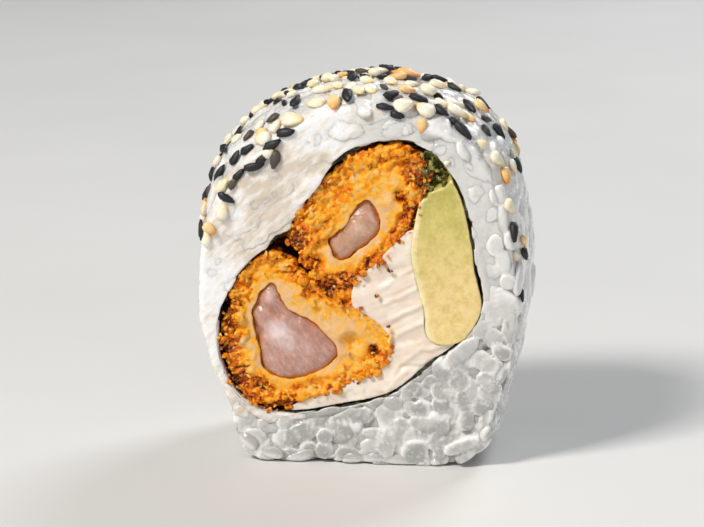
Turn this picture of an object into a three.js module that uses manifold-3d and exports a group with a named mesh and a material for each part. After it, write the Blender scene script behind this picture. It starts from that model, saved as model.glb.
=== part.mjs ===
// One piece of an inside-out sushi roll, standing on its rice side with a cut face to the front.
// A ring of rice with sesame seeds holds a sheet of nori, and the nori holds two breaded shrimps,
// a slice of avocado and soft white cheese. The roll's axis is Y, the front face looks along -Y,
// +Z is up, and the origin is on the flat spot that the piece rests on. Units are millimetres.

import * as THREE from 'three';
import { mergeVertices } from 'three/addons/utils/BufferGeometryUtils.js';
import Module from 'manifold-3d';

const wasm = await Module();
wasm.setup();

// Driving dimensions.
const DEPTH = 27;                 // length of the piece along the roll's axis
const HALF = DEPTH / 2;
const GAP = 0.3;                  // clearance between two pieces that touch
const NORI_THICK = 0.5;
const RICE_FACE = HALF - 0.7;     // the core's cut face, with the grains standing proud of it
const CORE_SINK = 0.5;            // how far the core lies inside the skin that the grains make
const FOOT_CUT = 0.35;            // the core reaches this far below the cut that makes the flat foot
const GRAIN = { length: 6.8, width: 2.7, thick: 2.3 };
const SEED = { length: 2.8, width: 1.7, thick: 1.0 };

// How many grains and seeds show, and where they lie.
const SIDE_COLUMNS = 19;          // grains round the roll, in each row
const SIDE_ROWS = 5;              // rows of grains between the two cut faces
const FACE_SPOTS = 21;            // lines of grains round each cut face
const LAYER_STEP = 3.2;           // from one grain to the next on such a line
const SEED_COUNT = 84;
const SEED_TURNS = [ 0.235, 0.765 ];            // the seeds' stretch of the rim, as shares of a turn
const SEED_STEPS = [ 0.754877666, 0.569840291 ]; // an even scatter steps on by these shares

// How finely the outlines are cut up.
const RIM_COUNT = 60;
const NORI_COUNT = 56;
const CRUST_COUNT = 32;
const SHRIMP_COUNT = 24;
const AVOCADO_COUNT = 32;
const CHEESE_COUNT = 40;

// Outlines across the roll, as x and z, counter-clockwise from the foot. The rice has a third number:
// how far its rounded edge falls, at the cut face, from the widest outline half way along the roll.
const RICE_OUTLINE = [
	[ 0, 0, 0.3 ], [ 13, 0, 0.4 ], [ 18.4, 3, 0.8 ], [ 20.6, 9.5, 0.9 ], [ 22.4, 17, 1 ],
	[ 23.4, 25.5, 1.1 ], [ 23, 33.5, 1.4 ], [ 21.6, 41.3, 2.2 ], [ 18.5, 47.6, 2.9 ], [ 12.8, 52.3, 3 ],
	[ 6, 54.6, 2.5 ], [ -1, 55.1, 2.2 ], [ -8.2, 54, 3 ], [ -14.6, 51.4, 4.4 ], [ -20.3, 46.4, 4.8 ],
	[ -23.6, 39.6, 2.7 ], [ -24.4, 31, 0.7 ], [ -24.4, 20, 0.6 ], [ -22.7, 13.4, 0.8 ], [ -20.2, 7.6, 0.8 ],
	[ -18.5, 2.6, 0.6 ], [ -14, 0, 0.4 ],
];
const NORI_OUTLINE = [
	[ -3.5, 8.4 ], [ 4.2, 10.5 ], [ 9.9, 15.1 ], [ 15.4, 19.6 ], [ 17.7, 24.5 ], [ 16.5, 31 ], [ 15.6, 37.5 ],
	[ 13.5, 43 ], [ 9.8, 47.2 ], [ 5, 48.6 ], [ -2, 46.9 ], [ -6.8, 42.6 ], [ -10.3, 37.6 ],
	[ -13.5, 33.2 ], [ -18.6, 28 ], [ -21.5, 21.2 ], [ -21.2, 14.6 ], [ -17.8, 9 ], [ -11, 7.2 ],
];
const UPPER_CRUST = [
	[ -4.1, 26.4 ], [ 0.4, 28.1 ], [ 4.7, 32.3 ], [ 7.2, 35 ], [ 8.6, 39 ], [ 10, 43.6 ], [ 8.6, 46.2 ],
	[ 4.6, 47.6 ], [ -2, 46 ], [ -6.4, 42 ], [ -9.8, 37.4 ], [ -11.2, 33 ], [ -8.8, 29.4 ],
];
const UPPER_SHRIMP = [
	[ -3.6, 30.3 ], [ -0.4, 32.2 ], [ 2.2, 34.7 ], [ 2.2, 37 ], [ 0.6, 39.4 ], [ -1.3, 38.2 ],
	[ -2.9, 35.4 ], [ -5, 33.2 ],
];
const LOWER_CRUST = [
	[ -13.8, 7.6 ], [ -7.8, 9.5 ], [ -0.4, 12.4 ], [ 4, 15.6 ], [ 4.3, 19.6 ], [ 0.3, 23.3 ], [ -5.6, 25.8 ],
	[ -9.4, 29.4 ], [ -13.6, 31.6 ], [ -18, 28.8 ], [ -20.8, 22 ], [ -20.8, 15.4 ], [ -18.2, 9.6 ],
];
const LOWER_SHRIMP = [
	[ -11.5, 12.4 ], [ -6.3, 13.8 ], [ -3.8, 16.7 ], [ -7, 20.8 ], [ -11.4, 23.4 ], [ -13.6, 26.9 ],
	[ -16.5, 22.4 ], [ -15.5, 17.4 ], [ -14.7, 13.8 ],
];
const AVOCADO = [
	[ 11.3, 18.3 ], [ 14.2, 19.4 ], [ 16.9, 23.6 ], [ 16, 29.8 ], [ 15.2, 36 ], [ 14, 40.2 ], [ 12.6, 43.2 ],
	[ 10.8, 45.8 ], [ 8.8, 46.8 ], [ 8.8, 43 ], [ 7.3, 35.3 ], [ 7.1, 30.6 ], [ 8.8, 23.5 ], [ 9.3, 19.4 ],
];
const CHEESE = [
	[ -14, 6 ], [ -4, 7 ], [ 6, 11 ], [ 13.4, 17 ], [ 11, 22 ], [ 8.6, 29 ], [ 8, 35 ], [ 2, 31.5 ],
	[ -1.6, 25 ], [ 2, 16 ], [ -8, 9.6 ],
];

// Numbers drawn by a fixed rule: the same seed gives the same roll.
function randomFrom( seed ) {

	let state = seed >>> 0;
	return () => {

		state = ( state * 1664525 + 1013904223 ) >>> 0;
		return state / 4294967296;

	};

}

function jitter( random, amount ) {

	return amount * ( random() - 0.5 );

}

// Curves across the roll: points in x and z, held as Vector2. A third number rides along as y.
function curvePoints( corners, count ) {

	const points = corners.map( ( [ x, z, y = 0 ] ) => new THREE.Vector3( x, y, z ) );
	return new THREE.CatmullRomCurve3( points, true ).getSpacedPoints( count ).slice( 0, count );

}

function outlinePoints( corners, count ) {

	return curvePoints( corners, count ).map( ( p ) => new THREE.Vector2( p.x, p.z ) );

}

function outwardNormals( outline ) {

	const count = outline.length;
	return outline.map( ( _, i ) => {

		const [ before, after ] = [ outline[ ( i + count - 1 ) % count ], outline[ ( i + 1 ) % count ] ];
		const along = after.clone().sub( before ).normalize();
		return new THREE.Vector2( along.y, - along.x );

	} );

}

function grown( outline, distance ) {

	const normals = outwardNormals( outline );
	return outline.map( ( p, i ) => p.clone().addScaledVector( normals[ i ], distance ) );

}

function ringAt( outline, y ) {

	return outline.map( ( p ) => new THREE.Vector3( p.x, y, p.y ) );

}

function centreOf( ring ) {

	return ring.reduce( ( sum, p ) => sum.add( p ), new THREE.Vector3() ).divideScalar( ring.length );

}

// A closed mesh through rings of points that run from the front (-Y) to the back.
// Each end closes on a pole, or on the flat outline itself where no pole is given.
function stackRings( rings, frontPole, backPole ) {

	const count = rings[ 0 ].length;
	const points = rings.flat();
	const faces = [];
	for ( let r = 0; r < rings.length - 1; r ++ ) {

		for ( let i = 0; i < count; i ++ ) {

			const [ a, b ] = [ r * count + i, r * count + ( i + 1 ) % count ];
			faces.push( a, b, b + count, a, b + count, a + count );

		}

	}

	const last = ( rings.length - 1 ) * count;
	if ( frontPole ) {

		const [ front, back ] = [ points.push( frontPole ) - 1, points.push( backPole ) - 1 ];
		for ( let i = 0; i < count; i ++ ) {

			const next = ( i + 1 ) % count;
			faces.push( front, next, i, back, last + i, last + next );

		}

	} else {

		const flat = rings[ 0 ].map( ( p ) => new THREE.Vector2( p.x, p.z ) );
		for ( const [ a, b, c ] of THREE.ShapeUtils.triangulateShape( flat, [] ) ) {

			faces.push( a, c, b, last + a, last + b, last + c );

		}

	}

	const geometry = new THREE.BufferGeometry().setFromPoints( points );
	geometry.setIndex( faces );
	return geometry;

}

// Conversions between meshes and solids that can be joined and cut.
function solidFrom( vertProperties, triVerts ) {

	return new wasm.Manifold( new wasm.Mesh( { numProp: 3, vertProperties, triVerts } ) );

}

function solidOf( geometry ) {

	const bare = new THREE.BufferGeometry().setAttribute( 'position', geometry.getAttribute( 'position' ) );
	bare.setIndex( geometry.getIndex() );
	const merged = mergeVertices( bare, 1e-4 );
	const points = merged.attributes.position.array;
	const triVerts = new Uint32Array( merged.index.array );
	const solid = solidFrom( points, triVerts );
	if ( solid.volume() > 0 ) return solid;
	const turned = triVerts.map( ( _, i ) => triVerts[ i - i % 3 + ( 3 - i % 3 ) % 3 ] );
	return solidFrom( points, turned );

}

function prism( outline, half ) {

	return solidOf( stackRings( [ ringAt( outline, - half ), ringAt( outline, half ) ] ) );

}

function geometryOf( solid ) {

	const largest = solid.decompose().sort( ( a, b ) => b.volume() - a.volume() )[ 0 ];
	const mesh = largest.getMesh();
	const geometry = new THREE.BufferGeometry();
	geometry.setAttribute( 'position', new THREE.BufferAttribute( mesh.vertProperties, 3 ) );
	geometry.setIndex( new THREE.BufferAttribute( mesh.triVerts, 1 ) );
	geometry.computeVertexNormals();
	return geometry;

}

function node( name, solid, color, roughness ) {

	const material = new THREE.MeshStandardMaterial( { color, roughness, metalness: 0 } );
	const mesh = new THREE.Mesh( geometryOf( solid ), material );
	mesh.name = name;
	return mesh;

}

// The rice: a core with its rounded edges, and the skin that grains and seeds lie on.
const rim = outlinePoints( RICE_OUTLINE, RIM_COUNT );
const rimNormals = outwardNormals( rim );
const rimFalls = curvePoints( RICE_OUTLINE, RIM_COUNT ).map( ( p ) => p.y );
const noriOuter = outlinePoints( NORI_OUTLINE, NORI_COUNT );
const hole = grown( noriOuter, GAP );

// The edge stays full through the middle of the roll and falls away close to each cut face.
function fallShare( y ) {

	return Math.pow( Math.abs( y ) / HALF, 4 );

}

// A point of the rice's outer skin: turn runs from 0 to 1 round the rim, and y along the roll.
function skinPoint( turn, y ) {

	const place = ( ( turn % 1 ) + 1 ) % 1 * RIM_COUNT;
	const [ a, b ] = [ Math.floor( place ) % RIM_COUNT, Math.ceil( place ) % RIM_COUNT ];
	const mix = place - Math.floor( place );
	const flat = rim[ a ].clone().lerp( rim[ b ], mix );
	const out = rimNormals[ a ].clone().lerp( rimNormals[ b ], mix ).normalize();
	const fall = THREE.MathUtils.lerp( rimFalls[ a ], rimFalls[ b ], mix ) * fallShare( y );
	flat.addScaledVector( out, - fall );
	return new THREE.Vector3( flat.x, y, flat.y );

}

function skinFrame( turn, y ) {

	const step = 0.01;
	const point = skinPoint( turn, y );
	const round = skinPoint( turn + step, y ).sub( skinPoint( turn - step, y ) ).normalize();
	const along = skinPoint( turn, y + step ).sub( skinPoint( turn, y - step ) ).normalize();
	return { point, round, normal: round.clone().cross( along ).normalize().negate() };

}

function riceCore() {

	const depths = [ - RICE_FACE, - 0.8 * RICE_FACE, 0, 0.8 * RICE_FACE, RICE_FACE ];
	const rings = depths.map( ( y ) => rim.map( ( p, i ) => {

		const fall = rimFalls[ i ] * fallShare( y ) + ( p.y > 1 ? CORE_SINK : - FOOT_CUT );
		const q = p.clone().addScaledVector( rimNormals[ i ], - fall );
		return new THREE.Vector3( q.x, y, q.y );

	} ) );
	return solidOf( stackRings( rings ) );

}

// A spindle with blunt ends, for a rice grain or a seed. Each row is its place along the length
// and its share of the full girth.
function spindle( { length, width, thick }, rows ) {

	const sides = 6;
	const rings = rows.map( ( [ place, girth ] ) => Array.from( { length: sides }, ( _, i ) => {

		const angle = 2 * Math.PI * i / sides;
		const [ across, up ] = [ Math.cos( angle ) * width / 2, Math.sin( angle ) * thick / 2 ];
		return new THREE.Vector3( across * girth, place * length, up * girth );

	} ) );
	const tip = ( side ) => new THREE.Vector3( 0, side * length / 2, 0 );
	return stackRings( rings, tip( - 1 ), tip( 1 ) );

}

const GRAIN_SHAPE = spindle( GRAIN, [ [ - 0.34, 0.84 ], [ 0.33, 0.92 ] ] );
const SEED_SHAPE = spindle( SEED, [ [ - 0.24, 1 ], [ 0.26, 0.66 ] ] );

// Lays a spindle at a point of the skin: turned about the skin's normal, sunk below it and tilted.
function laid( shape, { point, round, normal }, { turn, depth, tilt = 0 } ) {

	const along = round.clone().applyAxisAngle( normal, turn );
	const side = along.clone().cross( normal );
	const basis = new THREE.Matrix4().makeBasis( side, along, normal );
	const tipped = new THREE.Matrix4().makeRotationX( tilt );
	const place = new THREE.Matrix4().setPosition( point.clone().addScaledVector( normal, - depth ) );
	return solidOf( shape.clone().applyMatrix4( tipped ).applyMatrix4( basis ).applyMatrix4( place ) );

}

// Grains on the rim, in rows from face to face, each row half a grain on from the last.
function sideGrains() {

	const random = randomFrom( 11 );
	const reach = DEPTH - GRAIN.width;
	const grains = [];
	for ( let row = 0; row < SIDE_ROWS; row ++ ) {

		for ( let column = 0; column < SIDE_COLUMNS; column ++ ) {

			const turn = ( column + 0.5 * ( row % 2 ) + jitter( random, 0.5 ) ) / SIDE_COLUMNS;
			const y = ( ( row + 0.5 ) / SIDE_ROWS - 0.5 ) * reach + jitter( random, 0.8 );
			const depth = 0.75 + jitter( random, 0.4 );
			const lie = { turn: jitter( random, 1.5 ), depth, tilt: jitter( random, 0.16 ) };
			grains.push( laid( GRAIN_SHAPE, skinFrame( turn, y ), lie ) );

		}

	}

	return grains;

}

// The point of the rice's hole that lies nearest to a point of its rim.
function nearestOnHole( edge ) {

	const distance = ( p ) => p.distanceTo( edge );
	return hole.reduce( ( best, p ) => distance( p ) < distance( best ) ? p : best );

}

// Grains on a cut face: lines of them cross the ring of rice from the nori to the rim.
function faceGrains( side ) {

	const random = randomFrom( side < 0 ? 23 : 37 );
	const normal = new THREE.Vector3( 0, side, 0 );
	const grains = [];
	for ( let i = 0; i < FACE_SPOTS; i ++ ) {

		const end = skinPoint( ( i + 0.5 * random() ) / FACE_SPOTS, side * HALF );
		const edge = new THREE.Vector2( end.x, end.z );
		const start = nearestOnHole( edge );
		const outward = edge.clone().sub( start );
		const layers = Math.max( 1, Math.round( outward.length() / LAYER_STEP ) );
		const round = new THREE.Vector3( outward.x, 0, outward.y ).normalize().cross( normal );
		for ( let layer = 0; layer < layers; layer ++ ) {

			const share = ( layer + 0.5 + jitter( random, 0.3 ) ) / layers;
			const spot = start.clone().addScaledVector( outward, share );
			const point = new THREE.Vector3( spot.x, side * RICE_FACE, spot.y );
			const turn = jitter( random, layers > 1 ? 2.4 : 0.5 );
			const lie = { turn, depth: 0.6 + jitter( random, 0.3 ) };
			grains.push( laid( GRAIN_SHAPE, { point, round, normal }, lie ) );

		}

	}

	return grains;

}

// Sesame lies thick on the crown and thins out down both shoulders.
function sesame() {

	const random = randomFrom( 5 );
	const [ stepRound, stepAlong ] = SEED_STEPS;
	const seeds = [];
	for ( let i = 0; seeds.length < SEED_COUNT; i ++ ) {

		const turn = THREE.MathUtils.lerp( ...SEED_TURNS, ( i * stepRound + 0.06 * random() ) % 1 );
		const y = ( ( i * stepAlong ) % 1 - 0.5 ) * ( DEPTH - SEED.thick );
		const crown = 1 - Math.pow( Math.abs( turn - 0.5 ) / 0.28, 3 );
		if ( random() > 0.25 + 0.75 * crown ) continue;
		const depth = - 0.4 + jitter( random, 0.35 );
		const lie = { turn: Math.PI * random(), depth, tilt: jitter( random, 0.5 ) };
		seeds.push( laid( SEED_SHAPE, skinFrame( turn, y ), lie ) );

	}

	return seeds;

}

function rice() {

	const aboveFoot = new THREE.BoxGeometry( 80, 80, 80 ).translate( 0, 0, 40 );
	const grains = [ ...sideGrains(), ...faceGrains( - 1 ), ...faceGrains( 1 ) ];
	const heap = wasm.Manifold.union( [ riceCore(), ...grains, ...sesame() ] );
	return heap.intersect( solidOf( aboveFoot ) ).subtract( prism( hole, HALF + 5 ) );

}

function nori() {

	const half = HALF - 0.3;
	return prism( noriOuter, half ).subtract( prism( grown( noriOuter, - NORI_THICK ), half + 1 ) );

}

// The filling: what the nori holds, each piece clear of its neighbours.
const pocket = prism( grown( noriOuter, - NORI_THICK - GAP ), HALF + 5 );

// A piece whose cut faces bulge or crumble: rings shrink by the given shares to a pole at each end.
function filling( { corners, count, face, crown = 0, crag, shares, seed } ) {

	const random = randomFrom( seed );
	const outline = outlinePoints( corners, count );
	const middle = centreOf( ringAt( outline, 0 ) );
	const ring = ( share, y ) => ringAt( outline, y ).map( ( p ) => {

		const q = middle.clone().setY( y ).lerp( p, share * ( 1 - 0.06 * crag * random() ) );
		return q.setY( y + ( share < 1 ? jitter( random, crag ) : 0 ) );

	} );
	const faceY = ( share ) => face + crown * ( 1 - share * share );
	const front = shares.map( ( share ) => ring( share, - faceY( share ) ) );
	const back = shares.map( ( share ) => ring( share, faceY( share ) ) ).reverse();
	const sides = [ - 0.96, 0, 0.96 ].map( ( s ) => ring( 1, s * face ) );
	const pole = ( side ) => middle.clone().setY( side * faceY( 0 ) );
	return solidOf( stackRings( [ ...front, ...sides, ...back ], pole( - 1 ), pole( 1 ) ) );

}

function clearance( corners, count ) {

	return prism( grown( outlinePoints( corners, count ), GAP ), HALF + 3 );

}

// Crumbs that lie in a gap beside the lower shrimp, set back from the cut faces.
function crumbs( { x, z, across, from, to }, gap = 0 ) {

	const [ radius, half ] = [ across / 2 + gap, ( to - from ) / 2 + gap ];
	const ball = new THREE.SphereGeometry( 1, 8, 5 ).rotateX( Math.PI / 2 ).scale( radius, half, radius );
	return solidOf( ball.translate( x, ( from + to ) / 2, z ) );

}

const NORI_CRUMBS = { x: - 12, z: 31.6, across: 6.8, from: - 6, to: HALF - 3 };
const MIDDLE_CRUMBS = { x: - 3, z: 24, across: 6, from: - 8, to: HALF - 2 };

function crust( corners, meat, seed ) {

	const shares = [ 0.45, 0.7, 0.95 ];
	const block = filling( { corners, count: CRUST_COUNT, face: HALF - 0.5, crag: 0.9, shares, seed } );
	return block.intersect( pocket ).subtract( clearance( meat, SHRIMP_COUNT ) );

}

function shrimp( corners, seed ) {

	const shares = [ 0.5, 0.9 ];
	return filling( { corners, count: SHRIMP_COUNT, face: HALF - 0.7, crown: 0.6, crag: 0.1, shares, seed } );

}

const upperClear = clearance( UPPER_CRUST, CRUST_COUNT );
const lowerClear = clearance( LOWER_CRUST, CRUST_COUNT );
const avocadoClear = clearance( AVOCADO, AVOCADO_COUNT );

function lowerCrust() {

	const loose = crumbs( NORI_CRUMBS ).add( crumbs( MIDDLE_CRUMBS ) ).intersect( pocket )
		.subtract( clearance( LOWER_SHRIMP, SHRIMP_COUNT ) );
	return crust( LOWER_CRUST, LOWER_SHRIMP, 83 ).add( loose ).subtract( upperClear );

}

function avocado() {

	const lie = { face: HALF - 0.3, crag: 0.05, shares: [ 0.96 ], seed: 3 };
	return filling( { corners: AVOCADO, count: AVOCADO_COUNT, ...lie } )
		.intersect( pocket ).subtract( upperClear );

}

function creamCheese() {

	const lie = { face: HALF - 0.6, crag: 0.05, shares: [ 0.97 ], seed: 9 };
	return filling( { corners: CHEESE, count: CHEESE_COUNT, ...lie } ).intersect( pocket )
		.subtract( upperClear ).subtract( lowerClear ).subtract( avocadoClear )
		.subtract( crumbs( MIDDLE_CRUMBS, GAP ) );

}

const roll = new THREE.Group();
roll.add(
	node( 'rice', rice(), 0xe6e4dd, 0.4 ),
	node( 'nori', nori(), 0x1d2014, 0.45 ),
	node( 'upper_crust', crust( UPPER_CRUST, UPPER_SHRIMP, 71 ), 0xc8782a, 0.6 ),
	node( 'upper_shrimp', shrimp( UPPER_SHRIMP, 31 ), 0xc79c8e, 0.35 ),
	node( 'lower_crust', lowerCrust(), 0xc8782a, 0.6 ),
	node( 'lower_shrimp', shrimp( LOWER_SHRIMP, 37 ), 0xcfa79b, 0.35 ),
	node( 'avocado', avocado(), 0xd3c873, 0.45 ),
	node( 'cream_cheese', creamCheese(), 0xf3ece0, 0.4 ),
);

export default roll;
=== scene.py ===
"""A piece of an inside-out sushi roll with two breaded shrimps, avocado and white cheese.

The CAD frame gives the solids. This script dresses each of them: the rice and its sesame, the nori,
the crusts with their crumbs, the meats, the avocado and the cheese. Lengths are written in
millimetres and become metres where a mesh is made. The roll's axis is Y, its front cut face looks
along -Y, and +Z is up.
"""

import logging
import math
from collections.abc import Iterator, Sequence
from contextlib import contextmanager
from dataclasses import dataclass
from enum import Enum
from typing import ClassVar

import bpy
import numpy as np
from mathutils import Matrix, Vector
from mathutils.bvhtree import BVHTree
from mathutils.kdtree import KDTree


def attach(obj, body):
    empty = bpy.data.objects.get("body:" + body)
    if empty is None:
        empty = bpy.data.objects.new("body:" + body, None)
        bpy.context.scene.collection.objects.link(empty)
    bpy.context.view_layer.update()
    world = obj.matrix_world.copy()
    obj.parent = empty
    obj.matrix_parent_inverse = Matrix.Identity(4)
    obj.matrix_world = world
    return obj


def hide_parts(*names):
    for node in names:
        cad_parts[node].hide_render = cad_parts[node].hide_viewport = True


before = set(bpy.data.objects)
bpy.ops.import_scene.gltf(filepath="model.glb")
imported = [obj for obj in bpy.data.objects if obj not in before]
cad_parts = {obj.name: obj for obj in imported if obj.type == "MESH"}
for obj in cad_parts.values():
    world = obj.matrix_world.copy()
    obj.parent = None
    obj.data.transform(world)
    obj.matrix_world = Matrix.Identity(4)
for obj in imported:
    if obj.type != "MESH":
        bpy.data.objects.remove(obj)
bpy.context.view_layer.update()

LOG = logging.getLogger("roll")

# Driving dimensions, in millimetres.
MM = 0.001
DEPTH = 27.0
HALF = DEPTH / 2
NORI_THICK = 0.5

# Short names for types. A laid seed is its place, its axes and its share of the usual size.
Array = np.ndarray
Draws = np.random.Generator
Material = bpy.types.Material
Piece = bpy.types.Object
Socket = bpy.types.NodeSocket
Colour = tuple[float, float, float]
Triple = tuple[float, float, float]
Pixel = tuple[float, float]
Seed = tuple[float, float, float, float]
Laid = tuple[Array, Array, float]
Rows = Sequence[Sequence[float]]
Lines = Sequence[Sequence[Pixel]]

# Outlines across the roll as x and z, counter-clockwise from the foot, the same as the solids have.
# The rice's third number is how far its edge falls at the cut face.
RICE_OUTLINE: Rows = (
    (0, 0, 0.3), (13, 0, 0.4), (18.4, 3, 0.8), (20.6, 9.5, 0.9), (22.4, 17, 1), (23.4, 25.5, 1.1),
    (23, 33.5, 1.4), (21.6, 41.3, 2.2), (18.5, 47.6, 2.9), (12.8, 52.3, 3), (6, 54.6, 2.5),
    (-1, 55.1, 2.2), (-8.2, 54, 3), (-14.6, 51.4, 4.4), (-20.3, 46.4, 4.8), (-23.6, 39.6, 2.7),
    (-24.4, 31, 0.7), (-24.4, 20, 0.6), (-22.7, 13.4, 0.8), (-20.2, 7.6, 0.8), (-18.5, 2.6, 0.6),
    (-14, 0, 0.4),
)
NORI_OUTLINE: Rows = (
    (-3.5, 8.4), (4.2, 10.5), (9.9, 15.1), (15.4, 19.6), (17.7, 24.5), (16.5, 31), (15.6, 37.5),
    (13.5, 43), (9.8, 47.2), (5, 48.6), (-2, 46.9), (-6.8, 42.6), (-10.3, 37.6), (-13.5, 33.2),
    (-18.6, 28), (-21.5, 21.2), (-21.2, 14.6), (-17.8, 9), (-11, 7.2),
)
UPPER_CRUST: Rows = (
    (-4.1, 26.4), (0.4, 28.1), (4.7, 32.3), (7.2, 35), (8.6, 39), (10, 43.6), (8.6, 46.2), (4.6, 47.6),
    (-2, 46), (-6.4, 42), (-9.8, 37.4), (-11.2, 33), (-8.8, 29.4),
)
UPPER_SHRIMP: Rows = (
    (-3.6, 30.3), (-0.4, 32.2), (2.2, 34.7), (2.2, 37), (0.6, 39.4), (-1.3, 38.2), (-2.9, 35.4),
    (-5, 33.2),
)
LOWER_CRUST: Rows = (
    (-13.8, 7.6), (-7.8, 9.5), (-0.4, 12.4), (4, 15.6), (4.3, 19.6), (0.3, 23.3), (-5.6, 25.8),
    (-9.4, 29.4), (-13.6, 31.6), (-18, 28.8), (-20.8, 22), (-20.8, 15.4), (-18.2, 9.6),
)
LOWER_SHRIMP: Rows = (
    (-11.5, 12.4), (-6.3, 13.8), (-3.8, 16.7), (-7, 20.8), (-11.4, 23.4), (-13.6, 26.9), (-16.5, 22.4),
    (-15.5, 17.4), (-14.7, 13.8),
)
AVOCADO: Rows = (
    (11.3, 18.3), (14.4, 19.1), (16.2, 21.3), (17.2, 23.8), (16.1, 29.8), (15.2, 36), (14, 40.2),
    (12.6, 43.2), (10.8, 45.8), (8.8, 46.8), (8.8, 43), (7.3, 35.3), (7.1, 30.6), (8.8, 23.5),
    (9.3, 19.4),
)
CHEESE: Rows = (
    (-14, 6), (-4, 7), (6, 11), (13.4, 17), (11, 22), (8.6, 29), (8, 35), (2, 31.5), (-1.6, 25), (2, 16),
    (-8, 9.6),
)


class Face(Enum):
    """The two cut faces, by the side of Y that they look to."""

    FRONT = -1
    BACK = 1


# Curves across the roll.
def smooth_loop(corners: Rows, count: int) -> Array:
    """Runs a smooth closed curve through corners, as the solids' own outlines do.

    Args:
        corners: the curve's corners, each a row of numbers.
        count: how many evenly spaced points to give back.

    Returns:
        An array with a row for each point and as many columns as a corner has numbers.
    """
    knots = np.array(corners, float)
    before, after, beyond = (np.roll(knots, shift, 0) for shift in (1, -1, -2))

    def span(start: Array, end: Array) -> Array:
        """Gives the centripetal step between two rows of corners."""
        return np.linalg.norm(end - start, axis=1, keepdims=True) ** 0.5

    into, along, out = span(before, knots), span(knots, after), span(after, beyond)
    leave = ((knots - before) / into - (after - before) / (into + along) + (after - knots) / along) * along
    reach = ((after - knots) / along - (beyond - knots) / (along + out) + (beyond - after) / out) * along
    t = np.linspace(0, 1, 32, endpoint=False)[None, :, None]
    hermite = (
        (2 * t**3 - 3 * t**2 + 1) * knots[:, None] + (t**3 - 2 * t**2 + t) * leave[:, None]
        + (3 * t**2 - 2 * t**3) * after[:, None] + (t**3 - t**2) * reach[:, None]
    )
    fine = hermite.reshape(-1, knots.shape[1])
    closed = np.vstack([fine, fine[:1]])
    travelled = np.concatenate([[0], np.cumsum(np.linalg.norm(np.diff(closed[:, :2], axis=0), axis=1))])
    stops = np.linspace(0, travelled[-1], count, endpoint=False)
    return np.stack([np.interp(stops, travelled, column) for column in closed.T], 1)


def unit(ways: Array) -> Array:
    """Gives directions the length 1."""
    return ways / np.linalg.norm(ways, axis=-1, keepdims=True)


def outward(loop: Array) -> Array:
    """Gives the outward unit normal at each point of a counter-clockwise loop."""
    along = unit(np.roll(loop[:, :2], -1, 0) - np.roll(loop[:, :2], 1, 0))
    return np.stack([along[:, 1], -along[:, 0]], 1)


def standing(flat: Array, y: Array | float) -> Array:
    """Gives places or directions of three numbers from rows of x and z, and their y."""
    return np.stack([flat[:, 0], np.broadcast_to(y, len(flat)), flat[:, 1]], 1)


def fallen(fall: Array, y: Array) -> tuple[Array, Array]:
    """Says how far the rice's rim has sunk at y, and its slope there, from its fall at the cut face."""
    return fall * (np.abs(y) / HALF) ** 4, np.arctan(4 * fall * np.abs(y) ** 3 / HALF**4)


def grown(loop: Array, distance: float) -> Array:
    """Moves a loop outwards by a distance."""
    return loop[:, :2] + outward(loop) * distance


def inside(spots: Array, loop: Array) -> Array:
    """Says which spots lie inside a loop, by counting the edges to their right.

    Args:
        spots: places as x and z, a row each.
        loop: the loop's points.

    Returns:
        True for each spot inside.
    """
    answer = np.zeros(len(spots), bool)
    x0, z0 = loop[:, 0], loop[:, 1]
    x1, z1 = np.roll(x0, -1), np.roll(z0, -1)
    rise = np.where(z1 == z0, 1e-9, z1 - z0)
    for part in np.array_split(np.arange(len(spots)), len(spots) // 4000 + 1):
        x, z = spots[part, :1], spots[part, 1:2]
        crosses = ((z0 > z) != (z1 > z)) & (x < x0 + (z - z0) * (x1 - x0) / rise)
        answer[part] = crosses.sum(1) % 2 == 1
    return answer


def depth_within(spots: Array, loop: Array) -> Array:
    """Gives each spot's distance to a loop, positive inside it and negative outside.

    Args:
        spots: places as x and z, a row each.
        loop: the loop's points.

    Returns:
        One distance for each spot, in millimetres.
    """
    nearest = np.empty(len(spots))
    for part in np.array_split(np.arange(len(spots)), len(spots) // 4000 + 1):
        gaps = spots[part, None, :2] - loop[None, :, :2]
        nearest[part] = np.sqrt((gaps**2).sum(2).min(1))
    return np.where(inside(spots, loop), nearest, -nearest)


def nearest_on(spots: Array, loop: Array) -> Array:
    """Gives the number of the loop's point that lies nearest to each spot."""
    parts = np.array_split(spots[:, :2], len(spots) // 4000 + 1)
    return np.concatenate([((part[:, None] - loop[None, :, :2]) ** 2).sum(2).argmin(1) for part in parts])


def excess(values: Array, soft: Array | float) -> Array:
    """Gives what is over 0, with a soft turn about as wide as soft."""
    return soft * np.logaddexp(0, values / soft)


def ease(low: float, high: float, values: Array) -> Array:
    """Runs smoothly from 0 where values are at low to 1 where they are at high."""
    t = np.clip((values - low) / (high - low), 0, 1)
    return t * t * (3 - 2 * t)


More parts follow.
